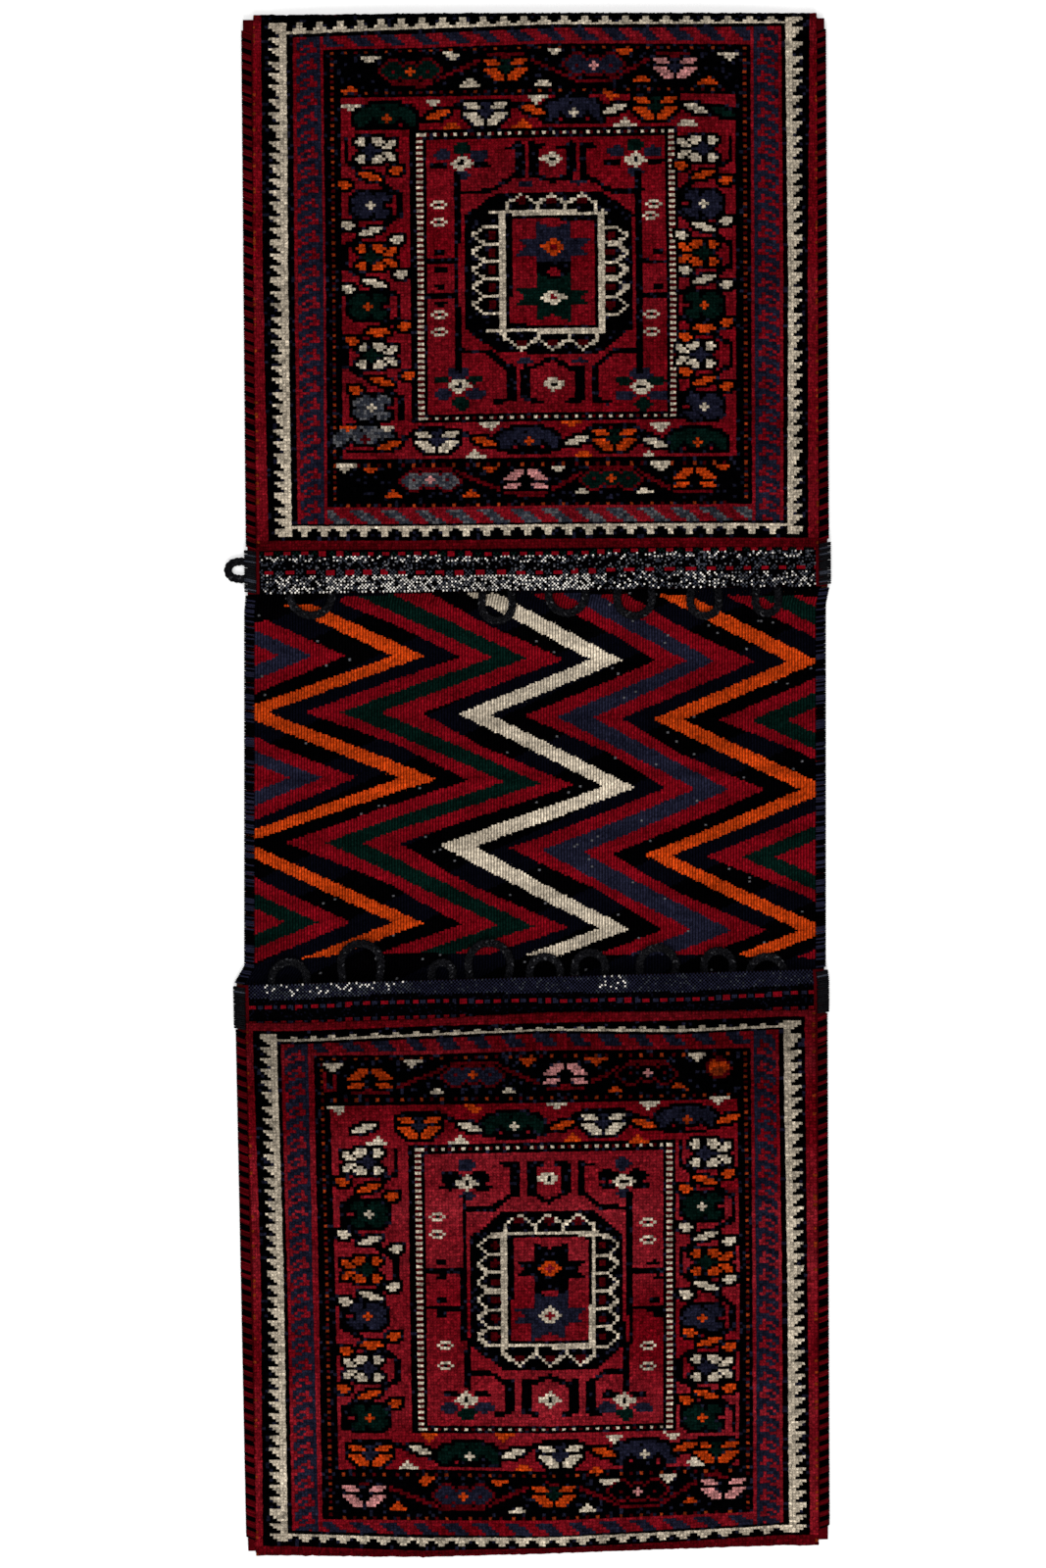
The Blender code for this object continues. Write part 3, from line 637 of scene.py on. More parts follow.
def paint_guards(face):
    """Dotted lines, the two flower bands' grounds and the field."""
    c, r = face.columns, face.rows[-21:]
    face.block((c[5], c[12]), (r[4], r[15]), "black")
    for column in ((c[5] + c[6]) // 2, (c[11] + c[12]) // 2):
        face.dots(np.arange(r[4] + 1, r[15] - 1, 2), column, "rust")
    places = np.arange(c[6] + 1, c[11], DOT_PITCH).astype(int)
    for low, high in ((r[4], r[5]), (r[6], r[7]), (r[12], r[13]), (r[14], r[15])):
        face.dots((low + high) // 2, places, "rust")
    face.block((c[6], c[11]), (r[7], r[12]), "red")
    face.block((c[7], c[10]), (r[8], r[11]), "black")
    for row in range(r[8] + 1, r[11] - 1):
        for left in (c[8] - 3, c[9] + 1):
            face.block((left, left + 2), (row, row + 1), "ivory" if row % 2 else "deep")
    places = np.arange(c[8] - 1, c[9] + 1, FIELD_DOT_PITCH).astype(int)
    for row in ((r[8] + r[9]) // 2, (r[10] + r[11]) // 2):
        face.dots(row, places, "ivory")
    face.block((c[8], c[9]), (r[9], r[10]), "red")


OPEN_FLAT = (".KKKK.....KKKK.", "KPPPPKCCCKPPPPK", ".KPPPPKCKPPPPK.", "KKKKKCCCCCKKKKK",
             "KPPPPKCCCKPPPPK", ".KPPPPKCKPPPPK.", "..KPPPPKPPPPK..", "..KKPPPKPPPKK..",
             "....KKK.KKK....")
OPEN_ASIDE = ("..KK...KK.....", ".KPPKKPPPKKK..", "KPPPKKPPPPKPPK", ".KPPKCKPPKPPPK",
              "..KKCCCKKPPPK.", "..KCCCCCCKKK..", "..KKCCCKKPPPK.", ".KPPKCKPPKPPPK",
              "KPPPKKPPPPKPPK", ".KPPKKPPPKKK..", "..KK...KK.....")
LOBED_FLAT = ("......KKKKKKKK......", "...KKKPPPPPPPPKKK...", "..KPPPPPPKPPPPPPPK..",
              ".KPPPPPPPPPPPPPPPPK.", "KPPPPPPPPPCPPPPPPPPK", "KPPPPPKPPCCCPPKPPPPK",
              "KPPPPKKKPPCPPKKKPPPK", ".KPPK...KKKKK...KPPK", "..KK.............KK.")
LOBED_ASIDE = ("....KKKKKK....", "..KPPPKKPPPK..", ".KPPPPPKPPPPK.", "KPPPPPPPPPPPK.",
               "KPPPPPCPPPKK..", ".KPPPCCCPPK...", "KPPPPPCPPPKK..", "KPPPPPPPPPPPK.",
               ".KPPPPPKPPPPK.", "..KPPPKKPPPK..", "....KKKKKK....")
WIDE = ("...DDD.......DDD...", "..DPPPD.DDD.DPPPD..", ".DPPPPPDPPPDPPPPPD.",
        "DPPPPPPPPCPPPPPPPPD", "DPPPDPPPCCCPPPDPPPD", ".DPPPPPPPCPPPPPPPD.",
        "..DPPPDPPPPPDPPPD..", "...DDD.DDDDD.DDD...")
LEAF = (".KKK.....", "KPPPPKK..", ".KPPPPPK.", "..KKPPPPK", "....KKKK.")
FLAT_LEAF = ("..KKKKK..", ".KPPPPPK.", "KPPPPPPPK", ".KKPPPKK.", "...KKK...")
SMALL_SPOT = ("PPP.", "PPPP", ".PP.")
SMALL_RING = (".PPP.", "P.K.P", ".PPP.")


def stamp(face, chart, x, y, dyes, flip_x=False, flip_y=False, outlined=True):
    """Knot a small chart with its middle at a pixel, its petals first outlined in black."""
    away = (face.x - x) ** 2 + (face.y - y) ** 2
    row, column = np.unravel_index(np.argmin(away), away.shape)
    knots = []
    for down, line in enumerate(chart[::-1] if flip_y else chart, row - len(chart) // 2):
        line = line[::-1] if flip_x else line
        for across, letter in enumerate(line, column - len(line) // 2):
            if letter in dyes:
                knots.append((down, across, dyes[letter]))
            if letter == "P" and outlined:
                face.dyes[down - 1:down + 2, across - 1:across + 2] = dye_number("black")
    for down, across, dye in knots:
        face.dyes[down, across] = dye_number(dye)


OPEN_SHIFT = 5


def flower(face, kind, way, x, y, dye, core):
    """One flower; way is the side to which it opens."""
    dyes = {"K": "black", "P": dye, "C": core, "D": "maroon"}
    is_open = kind == "open"
    if way in ("left", "right"):
        x += OPEN_SHIFT * is_open * (1 if way == "left" else -1)
        stamp(face, OPEN_ASIDE if is_open else LOBED_ASIDE, x, y, dyes,
              flip_x=(way == "right") == is_open)
    else:
        chart = {"open": OPEN_FLAT, "lobed": LOBED_FLAT, "wide": WIDE}[kind]
        stamp(face, chart, x, y, dyes, flip_y=(way == "down") == is_open)


OUTER_VINE, INNER_VINE = 4.0, 5.6
SPOT_ACROSS, SPOT_DOWN = 22.0, 8.5
BRACKET = {"left": (-27, 0), "right": (27, 0), "up": (0, -14.0), "down": (0, 14.0)}


def vine(face, flowers, dye, width):
    """The stem that winds from flower to flower, past each one's open side."""
    path = []
    for _, way, x, y, _, _ in flowers:
        dx, dy = BRACKET[way]
        along = (0, 11) if dx else (17, 0)
        path += [(x + dx - along[0], y + dy - along[1]), (x + dx + along[0], y + dy + along[1])]
    face.line(path, width, dye)


def spot(face, way, x, y, dye):
    """A small filled triangle that points up or down."""
    share = 0.5 + (1 if way == "up" else -1) * (face.y - y) / SPOT_DOWN
    inside = (share > 0) & (share < 1) & (np.abs(face.x - x) < SPOT_ACROSS / 2 * share)
    face.paint(inside, dye)


def ring(face, x, y, down=8.0):
    """An ivory lozenge with a dark middle."""
    inside = np.abs(face.x - x) / 13.0 + np.abs(face.y - y) / down
    face.paint(inside < 1, "ivory")
    face.paint(inside < 0.32, "black")


# Flowers: kind, the way that it opens, its middle in pixels, petals and core.
UPPER_FLOWERS = rows("""
    wide down 418 73 green orange, open up 516 71 orange green, wide down 605 68 navy pink,
    open up 687 70 pink navy, lobed down 395 117 green orange, open up 496 117 ivory navy,
    lobed down 586 111 navy ivory, open up 670 112 orange green, open left 380 154 ivory navy,
    lobed right 380 210 navy ivory, open left 380 263 orange green,
    lobed right 380 314 green orange, open left 380 363 ivory green,
    lobed right 382 417 slate ivory, open right 718 152 ivory navy, lobed left 718 207 navy ivory,
    open right 718 260 orange green, lobed left 718 312 green orange,
    open right 718 362 ivory navy, lobed left 720 415 navy ivory, lobed down 373 447 slate deep,
    open up 445 453 ivory navy, lobed down 540 448 navy orange, open up 627 448 orange green,
    lobed down 710 447 green orange, wide up 440 493 slate pink, open down 537 490 pink black,
    wide up 625 490 green orange, open down 707 488 orange black""")
LOWER_FLOWERS = rows("""
    open down 378 1100 orange black, wide up 484 1098 navy orange, open down 576 1095 pink black,
    wide up 661 1097 black pink, open up 427 1150 orange navy, lobed down 526 1146 green ivory,
    open up 617 1146 ivory navy, lobed down 700 1140 navy orange, open right 377 1186 ivory navy,
    lobed left 377 1240 green ivory, open right 377 1295 orange green,
    lobed left 377 1343 navy orange, open right 378 1397 ivory navy,
    lobed left 378 1447 green orange, open left 721 1177 ivory navy,
    lobed right 721 1232 green ivory, open left 721 1287 orange green,
    lobed right 721 1343 navy orange, open left 721 1396 ivory navy,
    lobed right 721 1447 green orange, open up 377 1484 orange navy,
    lobed down 478 1481 green ivory, open up 572 1486 ivory navy, lobed down 656 1481 navy ivory,
    open up 732 1481 orange green, open up 371 1528 pink black, wide down 471 1526 navy orange,
    open up 565 1528 orange green, wide down 652 1523 black pink, open up 736 1520 pink black""")
# How many flowers each band holds, in the order above; the first and last are outer bands.
UPPER_GROUPS, LOWER_GROUPS = (4, 4, 6, 6, 5, 4), (4, 4, 6, 6, 5, 5)
# Leaves between them, by lean and dye.
UPPER_LEAVES = {
    "down-right ivory": "710 112, 382 289, 716 233, 668 452",
    "down-right green": "737 113",
    "up-right orange": "447 117, 716 178, 718 388, 397 455",
    "down-right orange": "544 114, 379 182, 390 391, 494 451",
    "up-right ivory": "628 111, 380 237, 718 285, 587 450",
    "flat orange": "386 340, 718 337",
}
LOWER_LEAVES = {
    "up-right ivory": "373 1150, 377 1266, 720 1260, 525 1482",
    "down-right ivory": "478 1149, 377 1321, 721 1312, 427 1479",
    "up-right orange": "572 1147, 744 1140, 375 1213, 378 1424, 722 1367, 700 1477",
    "down-right orange": "658 1146, 720 1204, 720 1422, 617 1482",
    "flat orange": "378 1371",
}
# Small triangles, by the way that they point and their dye.
UPPER_SPOTS = {
    "down ivory":
        "378 62, 462 58, 565 53, 743 58, 358 111, 441 105, 548 102, 395 438, 500 436, 673 437, "
        "353 479, 570 478, 674 477",
    "up ivory": "480 84, 553 84, 638 124, 701 124, 485 463, 661 464, 593 501, 657 500",
    "down orange": "638 54, 624 99, 355 438, 583 434, 378 481, 500 479, 737 477",
    "up orange": "655 80, 722 82, 357 91, 460 128, 533 126, 595 463, 401 505, 482 504",
}
LOWER_SPOTS = {
    "down ivory":
        "340 1090, 420 1086, 711 1079, 346 1134, 568 1129, 662 1128, 733 1123, 626 1468, "
        "687 1465, 621 1513, 682 1508",
    "down orange": "538 1084, 608 1084, 484 1132, 438 1466, 514 1467, 433 1512, 509 1514",
    "up ivory":
        "445 1113, 520 1112, 385 1163, 469 1162, 416 1494, 707 1490, 529 1540, 600 1538",
    "up orange":
        "628 1111, 693 1107, 733 1090, 584 1160, 651 1161, 535 1497, 608 1499, 406 1536, 704 1530",
}
# Blots beside each leaf of the side bands, left and right: shift and which way round.
SIDE_SPOTS = ((-24, 7.5, 1), (27, -7, -1)), ((-18, 7.5, 1), (25, -7, -1))
SIDE_ROWS = ((170, 400), (1195, 1430))


def grouped(table):
    """Each place of a grouped table, with the two words of its group."""
    return [(*words.split(), *place) for words, places in table.items() for place in rows(places)]


def paint_bands(face, flowers, groups, leaves, spots):
    start = 0
    for number, size in enumerate(groups):
        outer = number in (0, len(groups) - 1)
        vine(face, flowers[start:start + size], "maroon" if outer else "black",
             OUTER_VINE if outer else INNER_VINE)
        start += size
    for kind, way, x, y, dye, core in flowers:
        flower(face, kind, way, x, y, dye, core)
    for lean, dye, x, y in grouped(leaves):
        stamp(face, FLAT_LEAF if lean == "flat" else LEAF, x, y, {"K": "black", "P": dye},
              flip_y=lean == "up-right")
        if any(low < y < high for low, high in SIDE_ROWS):
            way = 1 if lean == "up-right" else -1
            for dx, dy, hand in SIDE_SPOTS[x > PICTURE_MIDDLE[0]]:
                stamp(face, SMALL_SPOT, x + dx, y - way * dy, {"P": dye}, flip_x=hand < 0)
    for way, dye, x, y in grouped(spots):
        spot(face, way, x, y, dye)


def arch(face, points, heart, size):
    """One ivory arch of the medallion's fence, with its red heart."""
    face.line(points, FENCE_WIDTH, "ivory")
    face.oval(*heart, *size, "deep")


def paint_medallion(face, octagon, bars, lines, stems, peaks, spokes, tips, panel):
    """The black octagon with its ivory fence of arches, and the inner panel."""
    face.polygon(rows(octagon), "black")
    bases = (lines[0] + TOP_FENCE, lines[1] + END_FENCE)
    for places, peak, base in zip(stems, peaks, bases):
        for left, right in zip(places[:-1], places[1:]):
            middle = (left + right) / 2
            arch(face, ((left, base), (middle, peak), (right, base)),
                 (middle, peak * 0.4 + base * 0.6), (6.0, 3.6))
    for places, base, line in zip(stems, bases, lines):
        for x in places:
            face.line(((x, base), (x, line)), 3.4, "ivory")
    for bar, tip in zip(bars, tips):
        face.line(((bar, lines[0]), (bar, lines[1])), BAR_WIDTH, "ivory")
        edge = tip + (bar - tip) * TIP_SHARE
        for high, low in zip(spokes[:-1], spokes[1:]):
            middle = (high + low) / 2
            arch(face, ((edge, high), (tip, middle), (edge, low)),
                 (tip + (bar - tip) * HEART_SHARE, middle), (4.6, 4.0))
        for y in spokes:
            face.line(((edge, y), (bar, y)), 3.2, "ivory")
    for y in lines:
        face.line(((bars[0] - 14, y), (bars[1] + 3, y)), RAIL_WIDTH, "ivory")
    face.polygon(rows(panel), "red")


def star(face, x, top, bottom, half, dye, eye, spare):
    """A star with stepped sides, an eye of another colour and a red core."""
    middle, waist = (top + bottom) / 2, half * 0.72
    high, low = top + (bottom - top) * 0.34, bottom - (bottom - top) * 0.34
    notch = half * 0.46
    body = ((x - notch, top), (x, top + 7), (x + notch, top), (x + notch, high),
            (x + half, high), (x + waist, middle), (x + half, low), (x + notch, low),
            (x + notch, bottom), (x, bottom - (0 if spare else 7)), (x - notch, bottom),
            (x - notch, low), (x - half, low), (x - waist, middle), (x - half, high),
            (x - notch, high))
    face.polygon(body, dye)
    inside = np.abs(face.x - x) / 14 + np.abs(face.y - middle) / 9
    face.paint(inside < 1, eye)
    face.paint(inside < 0.4, "red")


def paths(text):
    return [rows(path) for path in text.split(";")]


UPPER_FIELD = {
    "fans": (("471 167, 648 163", """0 -15 9 7 green, -19 -8 9 6 navy, 18 -8 9 6 navy,
              -23 3 10 3.2 black, 20 2 9 3.2 black, 0 12 8 5 navy"""),
             ("468.5 394, 654 395", """0 -13 11 6.5 navy, -18 -6 9 3.8 green,
              16 -6 9 3.8 green, -16 9 10 5.5 navy, 17 9 10 5.5 navy, 2 18 9 7 green""")),
    "stems": (5.6, "466 178, 466 300, 468.5 380; 651.5 176, 651.5 300, 652.5 380"),
    "horns": (((530, 543.5, 581.5, 595), 149, 179,
               """528 150, 518 152; 545 149, 553 149; 580 150, 569 151; 597 149, 607 150;
               525 180, 499 196, 468 197; 543 179, 563 185, 583 179;
               599 180, 625 196, 654 195"""),
              ((521.5, 537, 592, 607), 377, 406,
               """520 408, 506 411; 538 408, 551 411; 590 408, 577 411; 608 408, 621 411;
               470 359, 497 359, 521 378; 538 378, 563 366, 590 380;
               606 376, 627 359, 652 357""")),
    "rings": "563 162, 565 392",
    "blots": "589 186, 537 188, 592 369, 536 369",
    "small_rings": """447 211, 448 227, 448 323, 448 340, 665 207, 665 221, 666 322,
                      666 340""",
    "arms": (4.5, (267, 302), "437 466, 651 678", "449 -9, 450 9, 671 -9"),
    "medallion": ("""474 220, 508 196.5, 614 195, 646 219, 645 335, 611 361, 508 361,
                  475 336""", (512.5, 613.5), (217.5, 338),
                  ((516, 547.7, 577.6, 609), (516, 548.6, 580, 610)), (199, 357),
                  (232.3, 248.9, 267, 284.5, 302.8, 321), (481.5, 640),
                  "520.4 222, 606.6 222, 606.6 334, 520.4 334"),
    "panel_line": "520 223, 607 223, 607 333, 520 333, 520 223",
    "stars": ((564.5, 226, 279, 38.5, "navy", "orange", True),
              (564.5, 279, 328.5, 38.5, "green", "ivory", False)),
    "waist": ("547 268, 582 268, 582 288, 547 288", (566, 278, 7, 4)),
}
LOWER_FIELD = {
    "fans": (("476 1207, 636 1205", """-1 -18 9 7 navy, -16 -6 11 6.5 black,
              14 -6 11 6.5 black, -17 4 10 3.4 black, 17 4 10 3.4 black, 1 13 8 5 navy"""),
             ("476 1428, 637 1428", """-15 -6 9 3.6 black, 15 -6 9 3.6 black,
              -18 8 10 5.5 navy, 19 8 10 5.5 navy, 1 14 9 6.5 green""")),
    "stems": (5.8, """474 1220, 474 1365, 478 1367, 478 1415;
              641 1218, 641 1337, 644 1340, 644 1369, 639 1372, 639 1418"""),
    "horns": (((526, 541.5, 576.5, 593), 1188, 1216,
               """524 1188, 513 1187; 544 1188, 553 1187; 575 1188, 566 1187;
               595 1188, 604 1187; 521 1218, 503 1233, 474 1234;
               541 1216, 559 1226, 577 1216; 597 1218, 613 1231, 640 1232"""),
              ((520, 537, 586, 602), 1411, 1438,
               """518 1441, 508 1443; 538 1441, 547 1443; 584 1441, 576 1443;
               603 1441, 612 1443; 479 1400, 505 1402, 517 1412;
               536 1413, 561 1404, 587 1416; 602 1413, 616 1399, 638 1399""")),
    "rings": "559 1202, 561 1428",
    "small_rings": """447 1242, 447 1258, 456 1372, 456 1392, 660 1248, 660 1264, 660 1372,
                      660 1392""",
    "arms": (5.0, (1296, 1334), "437 475, 641 676", "450 -8, 451 7, 667 -8, 671 7"),
    "medallion": ("""480 1262, 512 1237, 606 1235, 636 1260, 637 1372, 609 1397, 512 1397,
                  481 1373""", (514.5, 605.5), (1258, 1373),
                  ((514.5, 545, 574.6, 605), (514, 546, 577.6, 607)), (1239.5, 1393),
                  tuple(1261 + 18.6 * k for k in range(7)), (487, 631),
                  "523 1263, 599 1263, 599 1368, 523 1368"),
    "stars": ((561, 1267, 1321, 37.5, "black", "orange", True),
              (561, 1317, 1367, 37.5, "navy", "ivory", False)),
    "waist": ("545 1308, 578 1308, 578 1330, 545 1330", (561, 1319, 8, 4)),
}


def paint_field(face, field):
    """The red field: fans with ivory rings, stems, horns, small rings and the medallion."""
    for places, lobes in field["fans"]:
        for x, y in rows(places):
            for dx, dy, across, down, dye in rows(lobes):
                face.oval(x + dx, y + dy, across, down, dye)
            ring(face, x, y, 8.5)
    width, stems = field["stems"]
    for path in paths(stems):
        face.line(path, width, "black")
    for bars, top, end, links in field["horns"]:
        for x in bars:
            face.line(((x, top), (x, end)), HORN_WIDTH, "black")
        for path in paths(links):
            face.line(path, TWIG_WIDTH, "black")
    for x, y in rows(field["rings"]):
        ring(face, x, y)
    if "blots" in field:
        for x, y in rows(field["blots"]):
            face.oval(x, y, 8, 3.0, "navy")
    for x, y in rows(field["small_rings"]):
        stamp(face, SMALL_RING, x, y, {"P": "ivory", "K": "black"}, outlined=False)
    width, heights, spans, blots = field["arms"]
    for y in heights:
        for left, right in rows(spans):
            face.line(((left, y), (right, y)), width, "black")
        for x, away in rows(blots):
            face.oval(x, y + away, 6.5, 2.8, "black")
    paint_medallion(face, *field["medallion"])
    if "panel_line" in field:
        face.line(rows(field["panel_line"]), 3.0, "black")
    star(face, *field["stars"][0])
    waist, knot = field["waist"]
    face.polygon(rows(waist), "black")
    star(face, *field["stars"][1])
    face.oval(*knot, "red")


def paint_charts():
    for face, field, seed in ((UPPER_FACE, UPPER_FIELD, 3), (LOWER_FACE, LOWER_FIELD, 4)):
        paint_teeth(face, np.random.default_rng(seed))
        paint_hooks(face)
        paint_guards(face)
        paint_field(face, field)
    paint_bands(UPPER_FACE, UPPER_FLOWERS, UPPER_GROUPS, UPPER_LEAVES, UPPER_SPOTS)
    paint_bands(LOWER_FACE, LOWER_FLOWERS, LOWER_GROUPS, LOWER_LEAVES, LOWER_SPOTS)
    # The lower face's odd corner motifs.
    LOWER_FACE.line(rows("332 1094, 332 1111, 342 1113, 342 1097"), 3.2, "red")
    for row in rows("""733 1089 13 11 maroon, 728 1086 6 5 orange, 738 1088 6 5 orange,
                       732 1093 8 3.5 rust"""):
        LOWER_FACE.oval(*row)


KNOT_RISE = 0.0006
KNOT_SHIFTS = (0.00022, 0.00018, 0.00012)
PILE_SINK = 0.0003
SKIRT = np.array((0, 0, 0.0045))
FOLD_ROWS = 4
FOLD_STEP = 0.28
LOWEST = 0.0008
PILE_TONE = 0.68
PILE_UNEVEN = 0.24
FLECK_AND_GLINT_SHARE, SLATE_SHARE = 0.10, 0.35
# Painted shade: the lower face is darker near its mouth: how much, so many pixels away from it.
MOUTH_SHADE = ((0, 45, 90, 140), (0.6, 0.6, 0.8, 1.0))


def pile_colours(face, rng):
    """Each knot's colour: with wear, flecked and faded, row by row, its flecked knots partly
    painted glints; painted shade near the lower face's mouth.
    """
    colours = shades(face.dyes, rng, PILE_UNEVEN) * PILE_TONE
    # Painted shade: the lower face darkens towards its mouth.
    if face.pouch["way"] < 0:
        colours *= np.interp(face.y - face.y[:1], *MOUTH_SHADE)[..., None]
    # Navy knots among the black and navy: partly navy yarn, partly painted glints.
    flecks_and_glints = dyed(face.dyes, "black", "navy") & (rng.random(face.dyes.shape) < FLECK_AND_GLINT_SHARE)
    colours[flecks_and_glints] = np.array(DYES["navy"]) * rng.uniform(0.3, 0.8, (flecks_and_glints.sum(), 1))
    rose = np.array(DYES["rose"]) / np.array(DYES["red"])
    colours = np.where(dyed(face.dyes, "red")[..., None],
                       colours * (1 + (rose - 1) * face.fading(rng)), colours)
    slate = dyed(face.dyes, "slate") & (rng.random(face.dyes.shape) < SLATE_SHARE)
    colours[slate] = np.array(DYES["grey"]) * 0.6
    return colours * (1 + rng.normal(0, 0.035, face.down)[:, None, None])


def knotted_face(face, name, seed):
    """The pile as knots: a chart of raised cells on the front, carried round the fold."""
    rng = np.random.default_rng(seed)
    pouch, way = face.pouch, face.pouch["way"]
    column, row = np.meshgrid(np.arange(face.across + 1.0), np.arange(face.down + 1.0))
    x, y = to_bag(*face.place(column, row))
    x = x + rng.normal(0, KNOT_SHIFTS[0], x.shape)
    y = y + rng.normal(0, KNOT_SHIFTS[1], y.shape)
    z = front_height(pouch, x, y, PILE - PILE_SINK) + rng.normal(0, KNOT_SHIFTS[2], x.shape)
    nodes = np.stack((x, y, z), -1)
    colours = pile_colours(face, rng)
    at_fold, at_mouth = (nodes[0], nodes[-1])[::way]
    turns = [math.pi / 2 + FOLD_STEP * k for k in range(1, FOLD_ROWS + 1)]
    border = [under_fold(pouch, at_fold[:, 0], turn, PILE - PILE_SINK) for turn in turns[::-way]]
    border_dyes = np.full((FOLD_ROWS, face.across), dye_number("red"))
    border_colours = shades(border_dyes, rng, 0.09)
    hem_colours = shades(np.full((1, face.across), dye_number("deep")), rng, 0.05)
    nodes = np.concatenate((np.array(border), nodes, (at_mouth - SKIRT)[None])[::way])
    colours = np.concatenate((border_colours, colours, hem_colours)[::way])
    nodes = np.concatenate((nodes[:, :1] - SKIRT, nodes, nodes[:, -1:] - SKIRT), 1)
    colours = np.concatenate((colours[:, :1], colours, colours[:, -1:]), 1)
    nodes[..., 2] = nodes[..., 2].clip(LOWEST)
    points, faces, light = poked_grid(nodes, KNOT_RISE, rng)
    return add_grid_piece(name, points, faces, np.repeat(colours.reshape(-1, 3), 4, axis=0), light)


# Bridge and mouth bands.

RIB = 0.0025
WEFT_ROW = 0.0016
RIB_BASE, RIB_RISE = 0.00005, 0.0004
UNDER_BAND = 0.010
SPECK_SHARE = 0.008
ROW_BANDS = 45
# Painted highlight on the ribs' crests and painted shade in the valleys between them, as factors
# on the colour.
RIB_CREST_HIGHLIGHT, RIB_VALLEY_SHADE = 1.42, 0.20


def bridge_relief():
    """The kilim's ribs: each a low ridge, dyed cell by cell in stepped zigzags, with painted
    highlight on its crest and painted shade in the valleys.
    """
    rng = np.random.default_rng(11)
    half = HALF_WIDTH - ARM + 0.002
    ribs, rows = round(2 * half / RIB), round((BRIDGE_LENGTH + 2 * UNDER_BAND) / WEFT_ROW)
    across, down = np.meshgrid(np.linspace(-half, half, 2 * ribs + 1) / HALF_WIDTH,
                               np.linspace(0, 1, rows + 1))
    top = mouth_at(UPPER, across) + UNDER_BAND
    bottom = mouth_at(LOWER, across) - UNDER_BAND
    y = top + (bottom - top) * down
    x = x_at(across, y)
    crest = np.arange(2 * ribs + 1) % 2
    z = back_top(across * HALF_WIDTH) + RIB_BASE + RIB_RISE * crest
    z = z + rng.normal(0, 0.00005, z.shape)
    y = y + rng.normal(0, 0.00018, y.shape)
    points = np.stack((x, y, z), -1)
    a, b, c, d = cell_corners(np.arange(x.size).reshape(x.shape))
    faces = np.stack((d, c, b, a), -1).reshape(-1, 4)
    spot = points[:-1, 1::2, :2] + (points[1:, 1::2, :2] - points[:-1, 1::2, :2]) / 2
    dyes = stripe_dyes(*to_picture(spot[..., 0], spot[..., 1]))
    specks = dyed(dyes, "black", "navy") & (rng.random(dyes.shape) < SPECK_SHARE)
    colours = shades(dyes, rng, 0.16)
    colours[specks] = np.array(DYES["grey"]) * 0.8
    bands = rng.normal(0.88, 0.11, ROW_BANDS)
    light = np.interp(np.arange(rows), np.linspace(0, rows, ROW_BANDS), bands)
    colours = colours * light[:, None, None]
    blue = dyed(dyes, "black") & (np.sin(down[:-1, 1::2] * 31 + spot[..., 0] * 40) > 0.2)
    colours[blue] = np.array(DYES["midnight"]) * 0.5
    # Painted highlight on the crests, painted shade in the valleys.
    light = np.where(crest == 1, RIB_CREST_HIGHLIGHT, RIB_VALLEY_SHADE) * rng.uniform(0.72, 1.22, z.shape)
    return add_grid_piece("bridge_ribs", points.reshape(-1, 3), faces,
                          np.repeat(colours, 2, axis=1).reshape(-1, 3), light.ravel())


BAND_CELL = 0.0015
BAND_RISE = 0.00035


def mouth_band(pouch, name, dye_of, seed):
    """A mouth band in salt-and-pepper weave, with its twined rows and dashes."""
    rng = np.random.default_rng(seed)
    way, half = pouch["way"], HALF_WIDTH - FLAT_MARGIN
    columns, rows = round(2 * half / BAND_CELL), round(BAND_DEPTH / BAND_CELL)
    across, depth = np.meshgrid(np.linspace(-half, half, columns + 1) / HALF_WIDTH,
                                np.linspace(0, 1, rows + 1))
    y = mouth_at(pouch, across) + way * BAND_DEPTH * depth
    x = x_at(across, y)
    z = front_height(pouch, x, y, KILIM - 0.0002) + rng.normal(0, 0.00006, x.shape)
    nodes = np.stack((x, y, z), -1)[::-way]
    middle = (nodes[:-1, :-1] + nodes[1:, 1:]) / 2
    pixels = to_picture(middle[..., 0], middle[..., 1])
    colours = shades(dye_of(*pixels, *np.indices(pixels[0].shape), rng), rng, 0.12)
    lip = (nodes[0], nodes[-1])[way > 0] - np.array((0, 0, KILIM - 0.0004))
    nodes = np.concatenate((nodes, lip[None])[::way])
    colours = np.concatenate((colours, colours[-1:])) if way > 0 else \
        np.concatenate((colours[:1], colours))
    points, faces, light = poked_grid(nodes, BAND_RISE, rng)
    return add_grid_piece(name, points, faces, np.repeat(colours.reshape(-1, 3), 4, axis=0), light)


